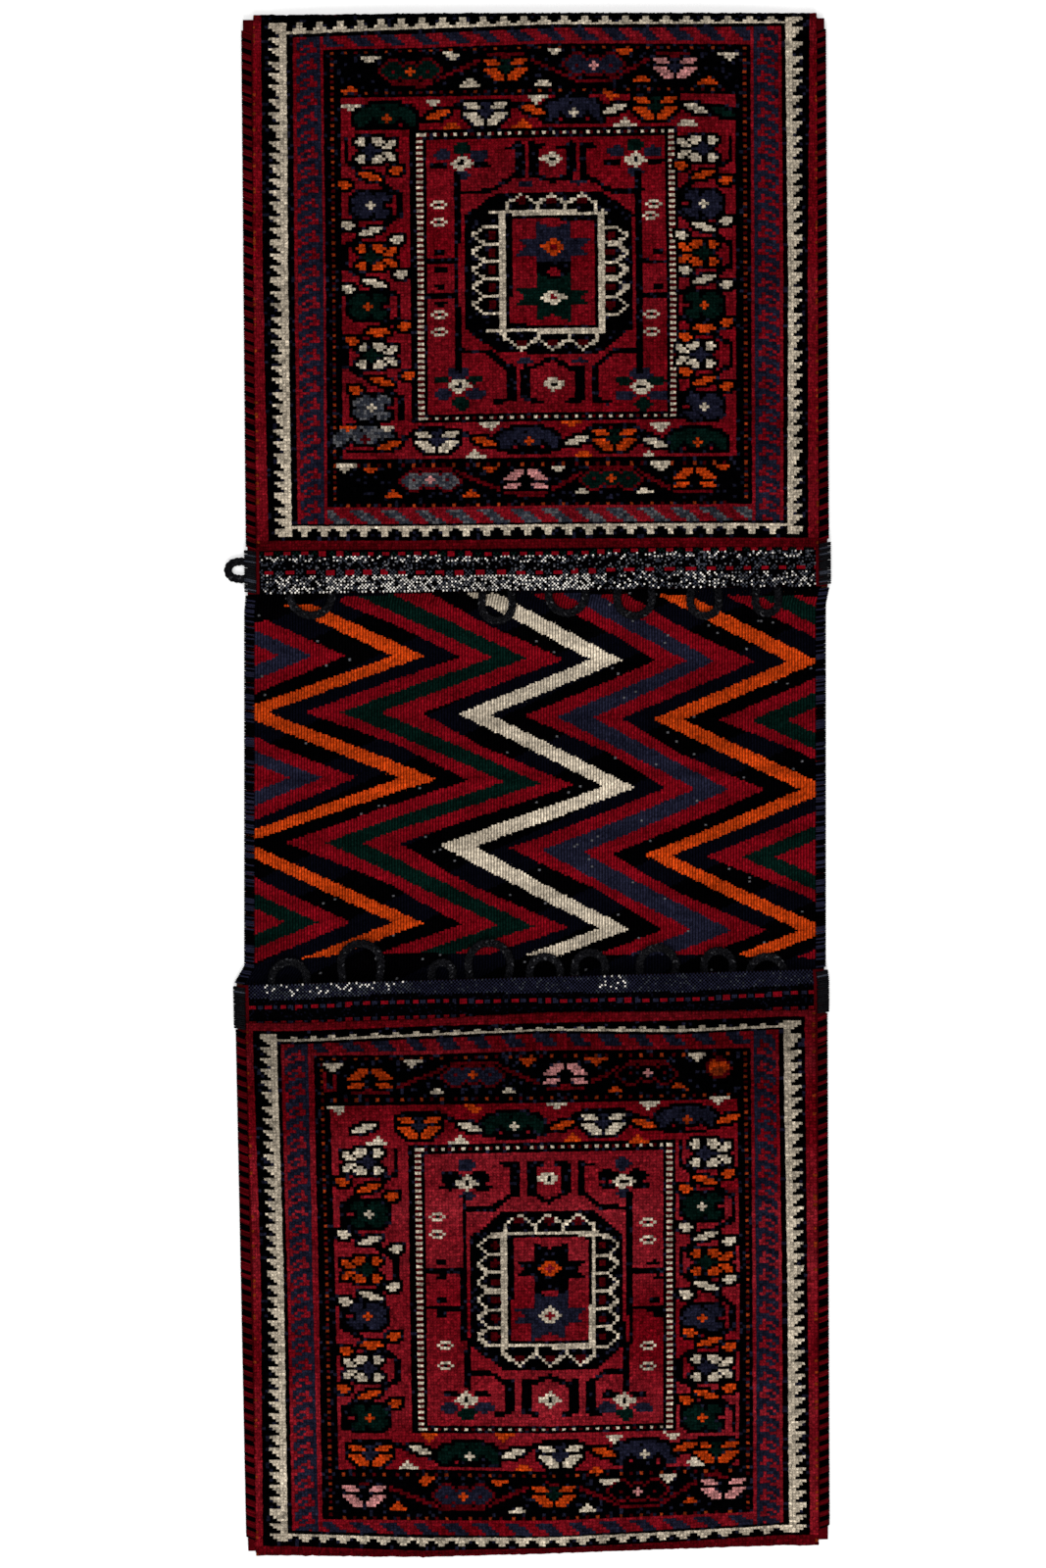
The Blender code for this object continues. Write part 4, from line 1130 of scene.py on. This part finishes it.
def upper_band_dyes(x, y, row, column, rng):
    """Dashes, a twined zone, dashes, then the salt-and-pepper weave up to the mouth."""
    depth = y - np.interp(x, (262, 560, 600, 640, 830), (606, 606, 604.5, 602.5, 600.5)) + 46
    dyes = np.full(x.shape, dye_number("black"))
    pepper = (row + column) % 2 == 0
    # The weave's grey and ash knots: partly the yarn's own salt-and-pepper, partly painted light,
    # as this band slopes towards the light.
    paler = np.interp(x, (262, 290, 300, 330, 345, 400, 560, 640, 830),
                      (0.2, 0.7, 0.75, 0.35, 0.8, 0.95, 0.9, 0.45, 0.5))
    weave, twined = pepper & (depth > 27), (depth > 7) & (depth < 22)
    for zone, share, dye in ((weave, 0.35, "slate"), (weave, 0.5 * paler, "grey"),
                             (weave, 0.5 * paler, "ash"),
                             (pepper & (depth > 7) & (depth < 13), 0.5 * paler, "ash"),
                             (twined, 0.16, "slate"), (twined, 0.06, "grey")):
        dyes[zone & (rng.random(x.shape) < share)] = dye_number(dye)
    for low, high, pitch, length, other in ((3, 7, 17, 7, "green"), (22, 26.5, 19.4, 9, "slate")):
        line = (depth > low) & (depth < high)
        phase = (x + 3 * np.sin(x / 31)) % pitch
        dyes[line & (phase < length)] = dye_number("red")
        start = pitch * 0.55
        dashes = line & (phase > start) & (phase < start + length * 0.75)
        dyes[dashes & pepper] = dye_number(other)
    return dyes


def lower_band_dyes(x, y, row, column, rng):
    """A grey pepper line at the mouth, then two rows of dashes on black."""
    depth = y - np.interp(x, (262, 300, 400, 700, 830), (1006, 1006, 1000, 998, 990))
    dyes = np.full(x.shape, dye_number("black"))
    dyes[rng.random(x.shape) < 0.10] = dye_number("midnight")
    bright = ((x > 270) & (x < 420)) | ((x > 610) & (x < 640))
    # The pepper is mostly navy, dimmer than the upper band's: partly its own yarn, partly painted
    # shade, as this band faces away from the light.
    pepper = (depth < 14) & ((row + column) % 2 == 0)
    dyes[pepper] = dye_number("navy")
    dyes[pepper & (rng.random(x.shape) < np.where(bright, 0.6, 0.12))] = dye_number("slate")
    dyes[pepper & bright & (depth < 10) & (rng.random(x.shape) < 0.22)] = dye_number("ash")
    phase = (x + 2 * np.sin(x / 23)) % 16.8
    for low, high in ((20, 24), (36, 40)):
        line = (depth > low) & (depth < high)
        dyes[line & (phase < 7)] = dye_number("red")
        dyes[line & (phase > 9) & (phase < 14)] = dye_number("navy")
    return dyes


# Yarns and braids.

def tube(path, radius, sides, frame_up=(0.0, 0.0, 1.0)):
    """Points and faces of a round yarn along a path, closed at its ends."""
    path = np.asarray(path, float)
    along = np.gradient(path, axis=0)
    along /= np.linalg.norm(along, axis=1, keepdims=True)
    up = np.asarray(frame_up, float)
    side = np.cross(along, up)
    side /= np.linalg.norm(side, axis=1, keepdims=True) + 1e-12
    over = np.cross(side, along)
    angles = 2 * math.pi * np.arange(sides) / sides
    radii = np.broadcast_to(np.asarray(radius, float), (len(path),))
    ring = (np.cos(angles)[None, :, None] * side[:, None]
            + np.sin(angles)[None, :, None] * over[:, None])
    points = path[:, None] + ring * radii[:, None, None]
    faces = []
    for k in range(len(path) - 1):
        for j in range(sides):
            a, b = k * sides + j, k * sides + (j + 1) % sides
            faces.append((a, b, b + sides, a + sides))
    faces.append(tuple(range(sides))[::-1])
    faces.append(tuple(range((len(path) - 1) * sides, len(path) * sides)))
    return points.reshape(-1, 3), faces


def joined(parts):
    """Several sets of points and faces as one."""
    faces, start = [], 0
    for part_points, part_faces in parts:
        faces += [tuple(i + start for i in face) for face in part_faces]
        start += len(part_points)
    return np.concatenate([part_points for part_points, _ in parts]), faces


class Nodes:
    """A node tree whose nodes have short labels, by which rows of text join them."""

    def __init__(self, tree):
        self.tree, self.nodes = tree, {}

    def add(self, label, kind, values=None, **settings):
        node = self.nodes[label] = self.tree.nodes.new(kind)
        for key, value in settings.items():
            setattr(node, key, value)
        for key, value in (values or {}).items():
            node.inputs[key].default_value = value

    def join(self, text):
        """Each row: a node and its output, then a node and its input, by name or number."""
        for source, output, target, entry in rows(text):
            ends = (self.nodes[source].outputs, output), (self.nodes[target].inputs, entry)
            self.tree.links.new(*[sockets[int(key) if isinstance(key, float)
                                          else key.replace("_", " ")] for sockets, key in ends])


class Repeater(Nodes):
    """A geometry node tree that sets copies of an object on the mesh that it is given."""

    def __init__(self, name, source, inputs):
        super().__init__(bpy.data.node_groups.new(name, "GeometryNodeTree"))
        self.tree.is_modifier = True
        self.socket(source, "Geometry")
        self.keys = {label: self.socket(label, kind) for label, kind in inputs.items()}
        self.socket("Geometry", "Geometry", "OUTPUT")
        self.add("start", "NodeGroupInput")
        self.add("end", "NodeGroupOutput")
        self.add("copies", "GeometryNodeInstanceOnPoints")

    def socket(self, label, kind, way="INPUT"):
        return self.tree.interface.new_socket(
            label, in_out=way, socket_type=f"NodeSocket{kind}").identifier

    def finish(self, shape, placed, material, kept=None):
        """Give the copies their shape, make them real and give all one material."""
        self.add("shape", "GeometryNodeObjectInfo")
        self.add("real", "GeometryNodeRealizeInstances")
        self.add("dress", "GeometryNodeSetMaterial", {"Material": material})
        self.join(f"""start {shape} shape Object, shape Geometry copies Instance,
                  {placed} Instances real Geometry""")
        if kept:
            self.add("both", "GeometryNodeJoinGeometry")
            self.join(f"real Geometry both Geometry, start {kept} both Geometry")
        self.join(f"""{"both" if kept else "real"} Geometry dress Geometry,
                  dress Geometry end Geometry""")

    def run(self, holder, name, values):
        """The result on a holder as one plain mesh; holder, copied object and tree go."""
        modifier = holder.modifiers.new("repeat", "NODES")
        modifier.node_group = self.tree
        for label, value in values.items():
            modifier[self.keys[label]] = value
        holder.name = f"{name}_holder"
        bpy.context.view_layer.update()
        graph = bpy.context.evaluated_depsgraph_get()
        mesh = bpy.data.meshes.new_from_object(holder.evaluated_get(graph), depsgraph=graph)
        mesh.name = name
        piece = linked(name, mesh)
        bpy.data.objects.remove(holder, do_unlink=True)
        material = next(material for material in mesh.materials if material)
        mesh.materials.clear()
        mesh.materials.append(material)
        mesh.polygons.foreach_set("material_index", np.zeros(len(mesh.polygons), np.int32))
        for value in values.values():
            if isinstance(value, bpy.types.Object):
                bpy.data.objects.remove(value, do_unlink=True)
        bpy.data.node_groups.remove(self.tree)
        return piece


BRAID_PITCH = 0.0115
STRAND = 0.00150
BRAID_SWING = 0.0022
BRAID_HEAVE = 0.0012
BRAID_STEP = 0.0011
HAIR_REACH = 0.0036
HAIR_WIDTH = 0.00016
HAIR_TONE = 0.16
HAIR_LEAN = 0.9
HAIRS_EACH = 130


def resampled(path, step):
    lengths = np.concatenate(([0], np.cumsum(np.linalg.norm(np.diff(path, axis=0), axis=1))))
    places = np.linspace(0, lengths[-1], max(4, round(lengths[-1] / step)) + 1)
    return np.stack([np.interp(places, lengths, path[:, k]) for k in range(3)], -1), places


def rounded(path, times=2):
    """The path with its corners cut, twice by default."""
    path = np.asarray(path, float)
    for _ in range(times):
        low = path[:-1] * 0.75 + path[1:] * 0.25
        high = path[:-1] * 0.25 + path[1:] * 0.75
        path = np.concatenate((path[:1], np.stack((low, high), 1).reshape(-1, 3), path[-1:]))
    return path


def braid(name, path, phase, material):
    """A three-strand braid along a path that lies flat, and its middle line."""
    centre, places = resampled(rounded(path), BRAID_STEP)
    along = np.gradient(centre, axis=0)
    along /= np.linalg.norm(along, axis=1, keepdims=True)
    side = np.cross(along, (0.0, 0.0, 1.0))
    parts = []
    for strand in range(3):
        turn = 2 * math.pi * (places / BRAID_PITCH + strand / 3 + phase)
        line = centre + side * (BRAID_SWING * np.sin(turn))[:, None]
        line = line + np.array((0, 0, 1)) * (BRAID_HEAVE * np.sin(2 * turn))[:, None]
        parts.append(tube(line, STRAND * (1 + 0.06 * np.sin(places * 900 + strand)), 8))
    points, faces = joined(parts)
    seed = round(phase * 100)
    rng = np.random.default_rng(seed)
    colours = shades(np.full(len(faces), dye_number("hair")), rng, 0.45)
    # Grey flecks on the braid: partly grey hairs, partly painted glints.
    flecks_and_glints = rng.random(len(faces)) < 0.05
    colours[flecks_and_glints] = np.array(DYES["grey"]) * rng.uniform(0.15, 0.6, (flecks_and_glints.sum(), 1))
    piece = add_piece(name, points, faces, colours)
    return with_stray_hairs(piece, seed, material), centre


def with_stray_hairs(braid_piece, seed, material):
    """The braid with short curved hairs that stand out of it, strewn by a node tree."""
    name, share = braid_piece.name, np.linspace(0, 1, 6)
    path = HAIR_REACH * np.stack((0.35 * np.sin(share * 2.4), 0.3 * share ** 2,
                                  0.55 * np.sin(share * 1.9)), -1)
    points, faces = tube(path, HAIR_WIDTH * (1 - 0.6 * share), 3, (0.0, 1.0, 0.2))
    colours = np.tile(np.array(DYES["grey"]) * HAIR_TONE, (len(faces), 1))
    hair = add_piece(f"{name}_hair", points, faces, colours, smooth=False)
    made = Repeater(f"{name}_nodes", "Braid",
                    {"Hair": "Object", "Density": "Float", "Seed": "Int"})
    made.add("spread", "GeometryNodeDistributePointsOnFaces")
    made.add("angle", "FunctionNodeRandomValue", {"Min": (-HAIR_LEAN, -HAIR_LEAN, 0.0),
             "Max": (HAIR_LEAN, HAIR_LEAN, 2 * math.pi)}, data_type="FLOAT_VECTOR")
    made.add("size", "FunctionNodeRandomValue", {2: 0.35, 3: 1.0}, data_type="FLOAT")
    made.join("""start Braid spread Mesh, start Density spread Density, start Seed spread Seed,
              spread Points copies Points, angle Value copies Rotation, size 1 copies Scale""")
    made.finish("Hair", "copies", material, "Braid")
    area = sum(polygon.area for polygon in braid_piece.data.polygons)
    return made.run(braid_piece, name,
                    {"Hair": hair, "Density": HAIRS_EACH / area, "Seed": seed})


def loop_path(pouch, place, half, reach):
    mouth = float(mouth_at(pouch, place / HALF_WIDTH))
    radius = LOOP_CORD / 2
    height = float(back_top(abs(place) + half + radius)) + CLEARANCE + radius
    bow = min(half, (reach + LOOP_ROOT) * 0.6)
    turn_line = reach - bow
    root = half * 0.62
    path = [(-root, -LOOP_ROOT), (-(root + half) / 2, (turn_line - LOOP_ROOT) / 2)]
    for k in range(7):
        angle = math.pi * k / 6
        path.append((-half * math.cos(angle), turn_line + bow * math.sin(angle)))
    path += [(-x, out) for x, out in path[1::-1]]
    return [(place + x, mouth - pouch["way"] * out, height) for x, out in path]


def tab_path():
    middle = float(mouth_at(UPPER, -1)) + TAB_PLACE
    wall = float(side_edge(-1, middle)) - CLEARANCE - CORNER_SKIN
    tip = wall - TAB_REACH + TAB_CORD / 2
    bow = [(tip + TAB_HALF * (1 - math.sin(math.pi * k / 4)), TAB_HALF * math.cos(math.pi * k / 4))
           for k in range(5)]
    start = wall + ARM / 2
    path = [(start, TAB_HALF)] + bow + [(start, -TAB_HALF)]
    return [(x, middle + y, TAB_CORD / 2) for x, y in path]


def declare(piece, node):
    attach(piece, "root")
    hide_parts(node)


def hair_cord(node, path, phase, hair):
    """A braid in place of one cord of the frame."""
    piece, centre = braid(f"{node}_braid", path, phase, hair)
    declare(piece, node)


def hair_cords(hair):
    for pouch in (UPPER, LOWER):
        for number, loop in enumerate(pouch["loops"], 1):
            hair_cord(f"{pouch['name']}_closure_loop_{number}", loop_path(pouch, *loop),
                      number * 0.37, hair)
    hair_cord("side_tab", tab_path(), 0.1, hair)


# How far along the slant each point of a stitch lies: most of it on the upper face.
STITCH_LEAN = (-0.5, -0.42, -0.1, 0.25, 0.45, 0.5, 0.5, 0.4, 0.2, 0.0)
STITCH_SHIFT, STITCH_TURN = 0.00022, 0.04
YARN = 0.00085
TICK_PITCH = 0.0092
TICK_SHARES = {-1: 0.42, 1: 0.56}


def stitch_section(side, layers, skin):
    """Middle line of one stitch, from the upper face round the edge to the floor."""
    over = LIFT + layers * KILIM + (layers - 1) * LAYER_GAP + CLEARANCE
    top, wall = over + skin - YARN, CLEARANCE + skin - YARN
    line = ((-ARM, over + 0.0002), (-ARM * 0.9, top - 0.0002), (-ARM * 0.45, top + 0.0002),
            (-0.0006, top), (wall - 0.0003, top * 0.82), (wall, top * 0.5),
            (wall - 0.0003, top * 0.2), (-0.0008, YARN), (-ARM * 0.5, YARN), (-ARM * 0.95, YARN))
    return [(side * x, 0.0, z) for x, z in line]


def stitches_along(name, line, stitch, material, pitch):
    """Stitches set along a line by a node tree, each shifted and turned a little."""
    holder = add_piece(f"{name}_line", line, [], edges=[(k, k + 1) for k in range(len(line) - 1)])
    made = Repeater(f"{name}_nodes", "Line", {"Piece": "Object", "Pitch": "Float",
                                              "Unevenness": "Float", "Turn": "Float"})
    made.add("curve", "GeometryNodeMeshToCurve")
    made.add("spread", "GeometryNodeResampleCurve", mode="LENGTH")
    made.add("shift", "GeometryNodeTranslateInstances")
    made.add("spin", "GeometryNodeRotateInstances")
    made.add("scatter", "FunctionNodeRandomValue", {"Seed": 7}, data_type="FLOAT_VECTOR")
    made.add("angle", "FunctionNodeRandomValue", {"Seed": 9}, data_type="FLOAT")
    for label in ("less", "less_turn"):
        made.add(label, "ShaderNodeMath", {1: -1.0}, operation="MULTIPLY")
    for label in ("low", "high", "turn"):
        made.add(label, "ShaderNodeCombineXYZ")
    made.join("""start Line curve Mesh, curve Curve spread Curve, start Pitch spread Length,
              spread Curve copies Points, start Unevenness less 0, less 0 low Y, less 0 low Z,
              start Unevenness high Y, start Unevenness high Z, low 0 scatter Min,
              high 0 scatter Max, copies Instances shift Instances,
              scatter Value shift Translation, start Turn less_turn 0, less_turn 0 angle 2,
              start Turn angle 3, angle 1 turn Z, shift Instances spin Instances,
              turn 0 spin Rotation""")
    made.finish("Piece", "spin", material)
    return made.run(holder, name, {"Piece": stitch, "Pitch": pitch,
                                   "Unevenness": STITCH_SHIFT, "Turn": STITCH_TURN})


def overcast(node, side, span, layers, skin, material, dye_of, pitch, slant, seed):
    """Overcasting along one edge, stitch by stitch, in place of its plain binding."""
    low, high = sorted(span)
    heights = np.linspace(low + pitch, high - pitch, 25)
    line = [(float(side_edge(side, y)), float(y), 0.0) for y in heights]
    section = np.array(stitch_section(side, layers, skin))
    section[:, 1] = slant * np.array(STITCH_LEAN)
    points, faces = tube(section, YARN, 5, (0.0, 1.0, 0.0))
    stitch = add_piece(f"{node}_stitch", points, faces)
    piece = stitches_along(f"{node}_stitches", line, stitch, material, pitch)
    count = len(piece.data.polygons) // len(faces)
    rng = np.random.default_rng(seed)
    dyes = dye_of(low + (high - low) * np.arange(count) / max(count - 1, 1), rng)
    paint_faces(piece.data, np.repeat(shades(dyes, rng, 0.10), len(faces), axis=0))
    piece.data.polygons.foreach_set("use_smooth", np.full(len(piece.data.polygons), True))
    declare(piece, node)


def seam_dyes(side):
    def dyes(places, rng):
        phase = (places / TICK_PITCH) % 1.0
        ticks = phase < TICK_SHARES[side] + rng.normal(0, 0.07, places.shape)
        reds = np.where(rng.random(places.shape) < 0.45, dye_number("maroon"), dye_number("deep"))
        return np.where(ticks, dye_number("black"), reds)
    return dyes


def plain_dyes(name, other, share):
    def dyes(places, rng):
        return np.where(rng.random(places.shape) < share, dye_number(other), dye_number(name))
    return dyes


def all_overcasting(yarn, hair):
    for side, hand in ((-1, "left"), (1, "right")):
        ends = []
        for number, pouch in enumerate((UPPER, LOWER)):
            way, name = pouch["way"], f"{pouch['name']}_{hand}"
            mouth = float(mouth_at(pouch, side))
            ends.append(mouth - way * 2 * CLEARANCE)
            corner_end = mouth + way * CORNER_LENGTH
            overcast(f"{name}_corner_wrap", side,
                     (mouth + way * CLEARANCE, corner_end), 2, CORNER_SKIN, hair,
                     plain_dyes("hair", "slate", 0.15), 0.0017, 0.0016, 31 + number)
            seam = (corner_end + way * CLEARANCE, float(fold_at(pouch, side)) - way * ARM)
            overcast(f"{name}_side_seam", side, seam, 2, SKIN, yarn,
                     seam_dyes(side), 0.0014, 0.0032, 41 + number)
        overcast(f"bridge_{hand}_selvedge", side, ends, 1, SKIN, yarn,
                 plain_dyes("navy", "black", 0.5), 0.0016, 0.0012, 51)


# Materials.

class Look(Nodes):
    """A material's nodes, with its Principled shader."""

    def __init__(self, name, roughness):
        self.material = bpy.data.materials.new(name)
        self.material.use_nodes = True
        super().__init__(self.material.node_tree)
        shader = self.nodes["shader"] = self.tree.nodes["Principled BSDF"]
        shader.inputs["Specular IOR Level"].default_value = 0.0
        shader.inputs["Roughness"].default_value = roughness

    def noise(self, label, scale, detail, stretch=(1, 1, 1)):
        self.add(f"{label}_place", "ShaderNodeTexCoord")
        self.add(f"{label}_map", "ShaderNodeMapping", {"Scale": stretch})
        self.add(label, "ShaderNodeTexNoise", {"Scale": scale, "Detail": detail})
        self.join(f"""{label}_place Object {label}_map Vector,
                  {label}_map Vector {label} Vector""")

    def ranged(self, label, low, high, from_low=0.3, from_high=0.7):
        self.add(label, "ShaderNodeMapRange", {"From Min": from_low, "From Max": from_high,
                                               "To Min": low, "To Max": high})


def wool(name, fibre_scale, stretch, contrast, roughness, depth):
    """Dyed wool: the cell's own dye, broken up by fine fibres, their light and dark streaks partly
    grain and partly painted glints, and by patches of wear.
    """
    made = Look(name, roughness)
    made.add("dye", "ShaderNodeAttribute", attribute_name="dye")
    made.noise("fibres", fibre_scale, 3.0, stretch)
    made.noise("patches", 28.0, 2.0)
    made.ranged("light", 1 - contrast, 1 + contrast)
    made.ranged("worn", 0.80, 1.20)
    for label in ("lit", "aged"):
        made.add(label, "ShaderNodeVectorMath", operation="SCALE")
    made.add("bump", "ShaderNodeBump", {"Distance": depth, "Strength": 1.0})
    made.join("""fibres Fac light Value, patches Fac worn Value, dye Color lit 0,
              light Result lit Scale, lit Vector aged 0, worn Result aged Scale,
              aged Vector shader Base_Color, fibres Fac bump Height, bump Normal shader Normal""")
    return made.material


def floor_material():
    """Plain white floor: bright to the camera and in reflections, softer as a light."""
    made = Look("white_floor", 0.9)
    made.nodes["shader"].inputs["Emission Color"].default_value = (1, 1, 1, 1)
    made.add("ray", "ShaderNodeLightPath")
    for label in ("seen", "seen_too"):
        made.add(label, "ShaderNodeMath", operation="MAXIMUM")
    made.ranged("tone", 0.35, 0.93, 0.0, 1.0)
    made.ranged("glow", 0.0, 0.30, 0.0, 1.0)
    made.join("""ray Is_Camera_Ray seen 0, ray Is_Glossy_Ray seen 1, seen 0 seen_too 0,
              ray Is_Transmission_Ray seen_too 1, seen_too 0 tone Value, seen_too 0 glow Value,
              tone Result shader Base_Color, glow Result shader Emission_Strength""")
    return made.material


# Floor, light and camera.

CAMERA_HEIGHT = 6.0
FACE_HEIGHT = 0.014
SENSOR = 24.0
FLOOR_HALF = 6
FLOOR_DROP = 0.0004
WORLD_LIGHT = 0.35


def add_light(name, place, size, power):
    light = bpy.data.lights.new(name, "AREA")
    light.shape, light.size, light.energy = "DISK", size, power
    lamp = linked(name, light)
    lamp.location = place
    lamp.rotation_euler = (-Vector(place)).to_track_quat("-Z", "Y").to_euler()


def add_camera():
    camera = bpy.data.cameras.new("overhead")
    camera.sensor_fit, camera.sensor_height, camera.clip_end = "VERTICAL", SENSOR, 50.0
    camera.lens = SENSOR * (CAMERA_HEIGHT - FACE_HEIGHT) / (PICTURE_SIZE[1] / PICTURE_SCALE)
    eye = linked("overhead", camera)
    eye.location = (*to_bag(PICTURE_SIZE[0] / 2, PICTURE_SIZE[1] / 2), CAMERA_HEIGHT)
    bpy.context.scene.camera = eye


def add_studio():
    half = FLOOR_HALF
    corners = [(-half, -half, 0), (half, -half, 0), (half, half, 0), (-half, half, 0)]
    floor = add_piece("studio_floor", corners, [(0, 1, 2, 3)], smooth=False)
    floor.location.z = -FLOOR_DROP
    floor.data.materials.append(floor_material())
    add_light("key", (0.3, -2.6, 3.2), 2.4, 95.0)
    add_light("top", (-0.6, 0.8, 3.8), 3.0, 60.0)
    world = bpy.data.worlds.new("studio")
    world.use_nodes = True
    background = world.node_tree.nodes["Background"]
    background.inputs["Color"].default_value = (1, 1, 1, 1)
    background.inputs["Strength"].default_value = WORLD_LIGHT
    bpy.context.scene.world = world
    bpy.context.scene.view_settings.view_transform = "Standard"
    add_camera()


# The whole bag.

add_studio()
pile = wool("knotted_pile", 900.0, (1.0, 0.7, 1.0), 0.55, 0.95, 0.0006)
kilim = wool("flat_weave", 1100.0, (1.6, 0.6, 1.0), 0.40, 0.95, 0.0003)
yarn = wool("overcast_yarn", 1300.0, (0.6, 1.8, 1.0), 0.45, 0.9, 0.0003)
hair = wool("goat_hair", 1600.0, (1.0, 1.0, 1.0), 0.85, 0.8, 0.0004)
body = woven_body()
paint_charts()
overlays = [
    knotted_face(UPPER_FACE, "upper_pile", 21),
    knotted_face(LOWER_FACE, "lower_pile", 22),
    bridge_relief(),
    mouth_band(UPPER, "upper_mouth_band", upper_band_dyes, 23),
    mouth_band(LOWER, "lower_mouth_band", lower_band_dyes, 24),
]
for piece in [body] + overlays:
    piece.data.materials.append(pile if "pile" in piece.name else kilim)
    declare(piece, "woven_strip")
all_overcasting(yarn, hair)
hair_cords(hair)
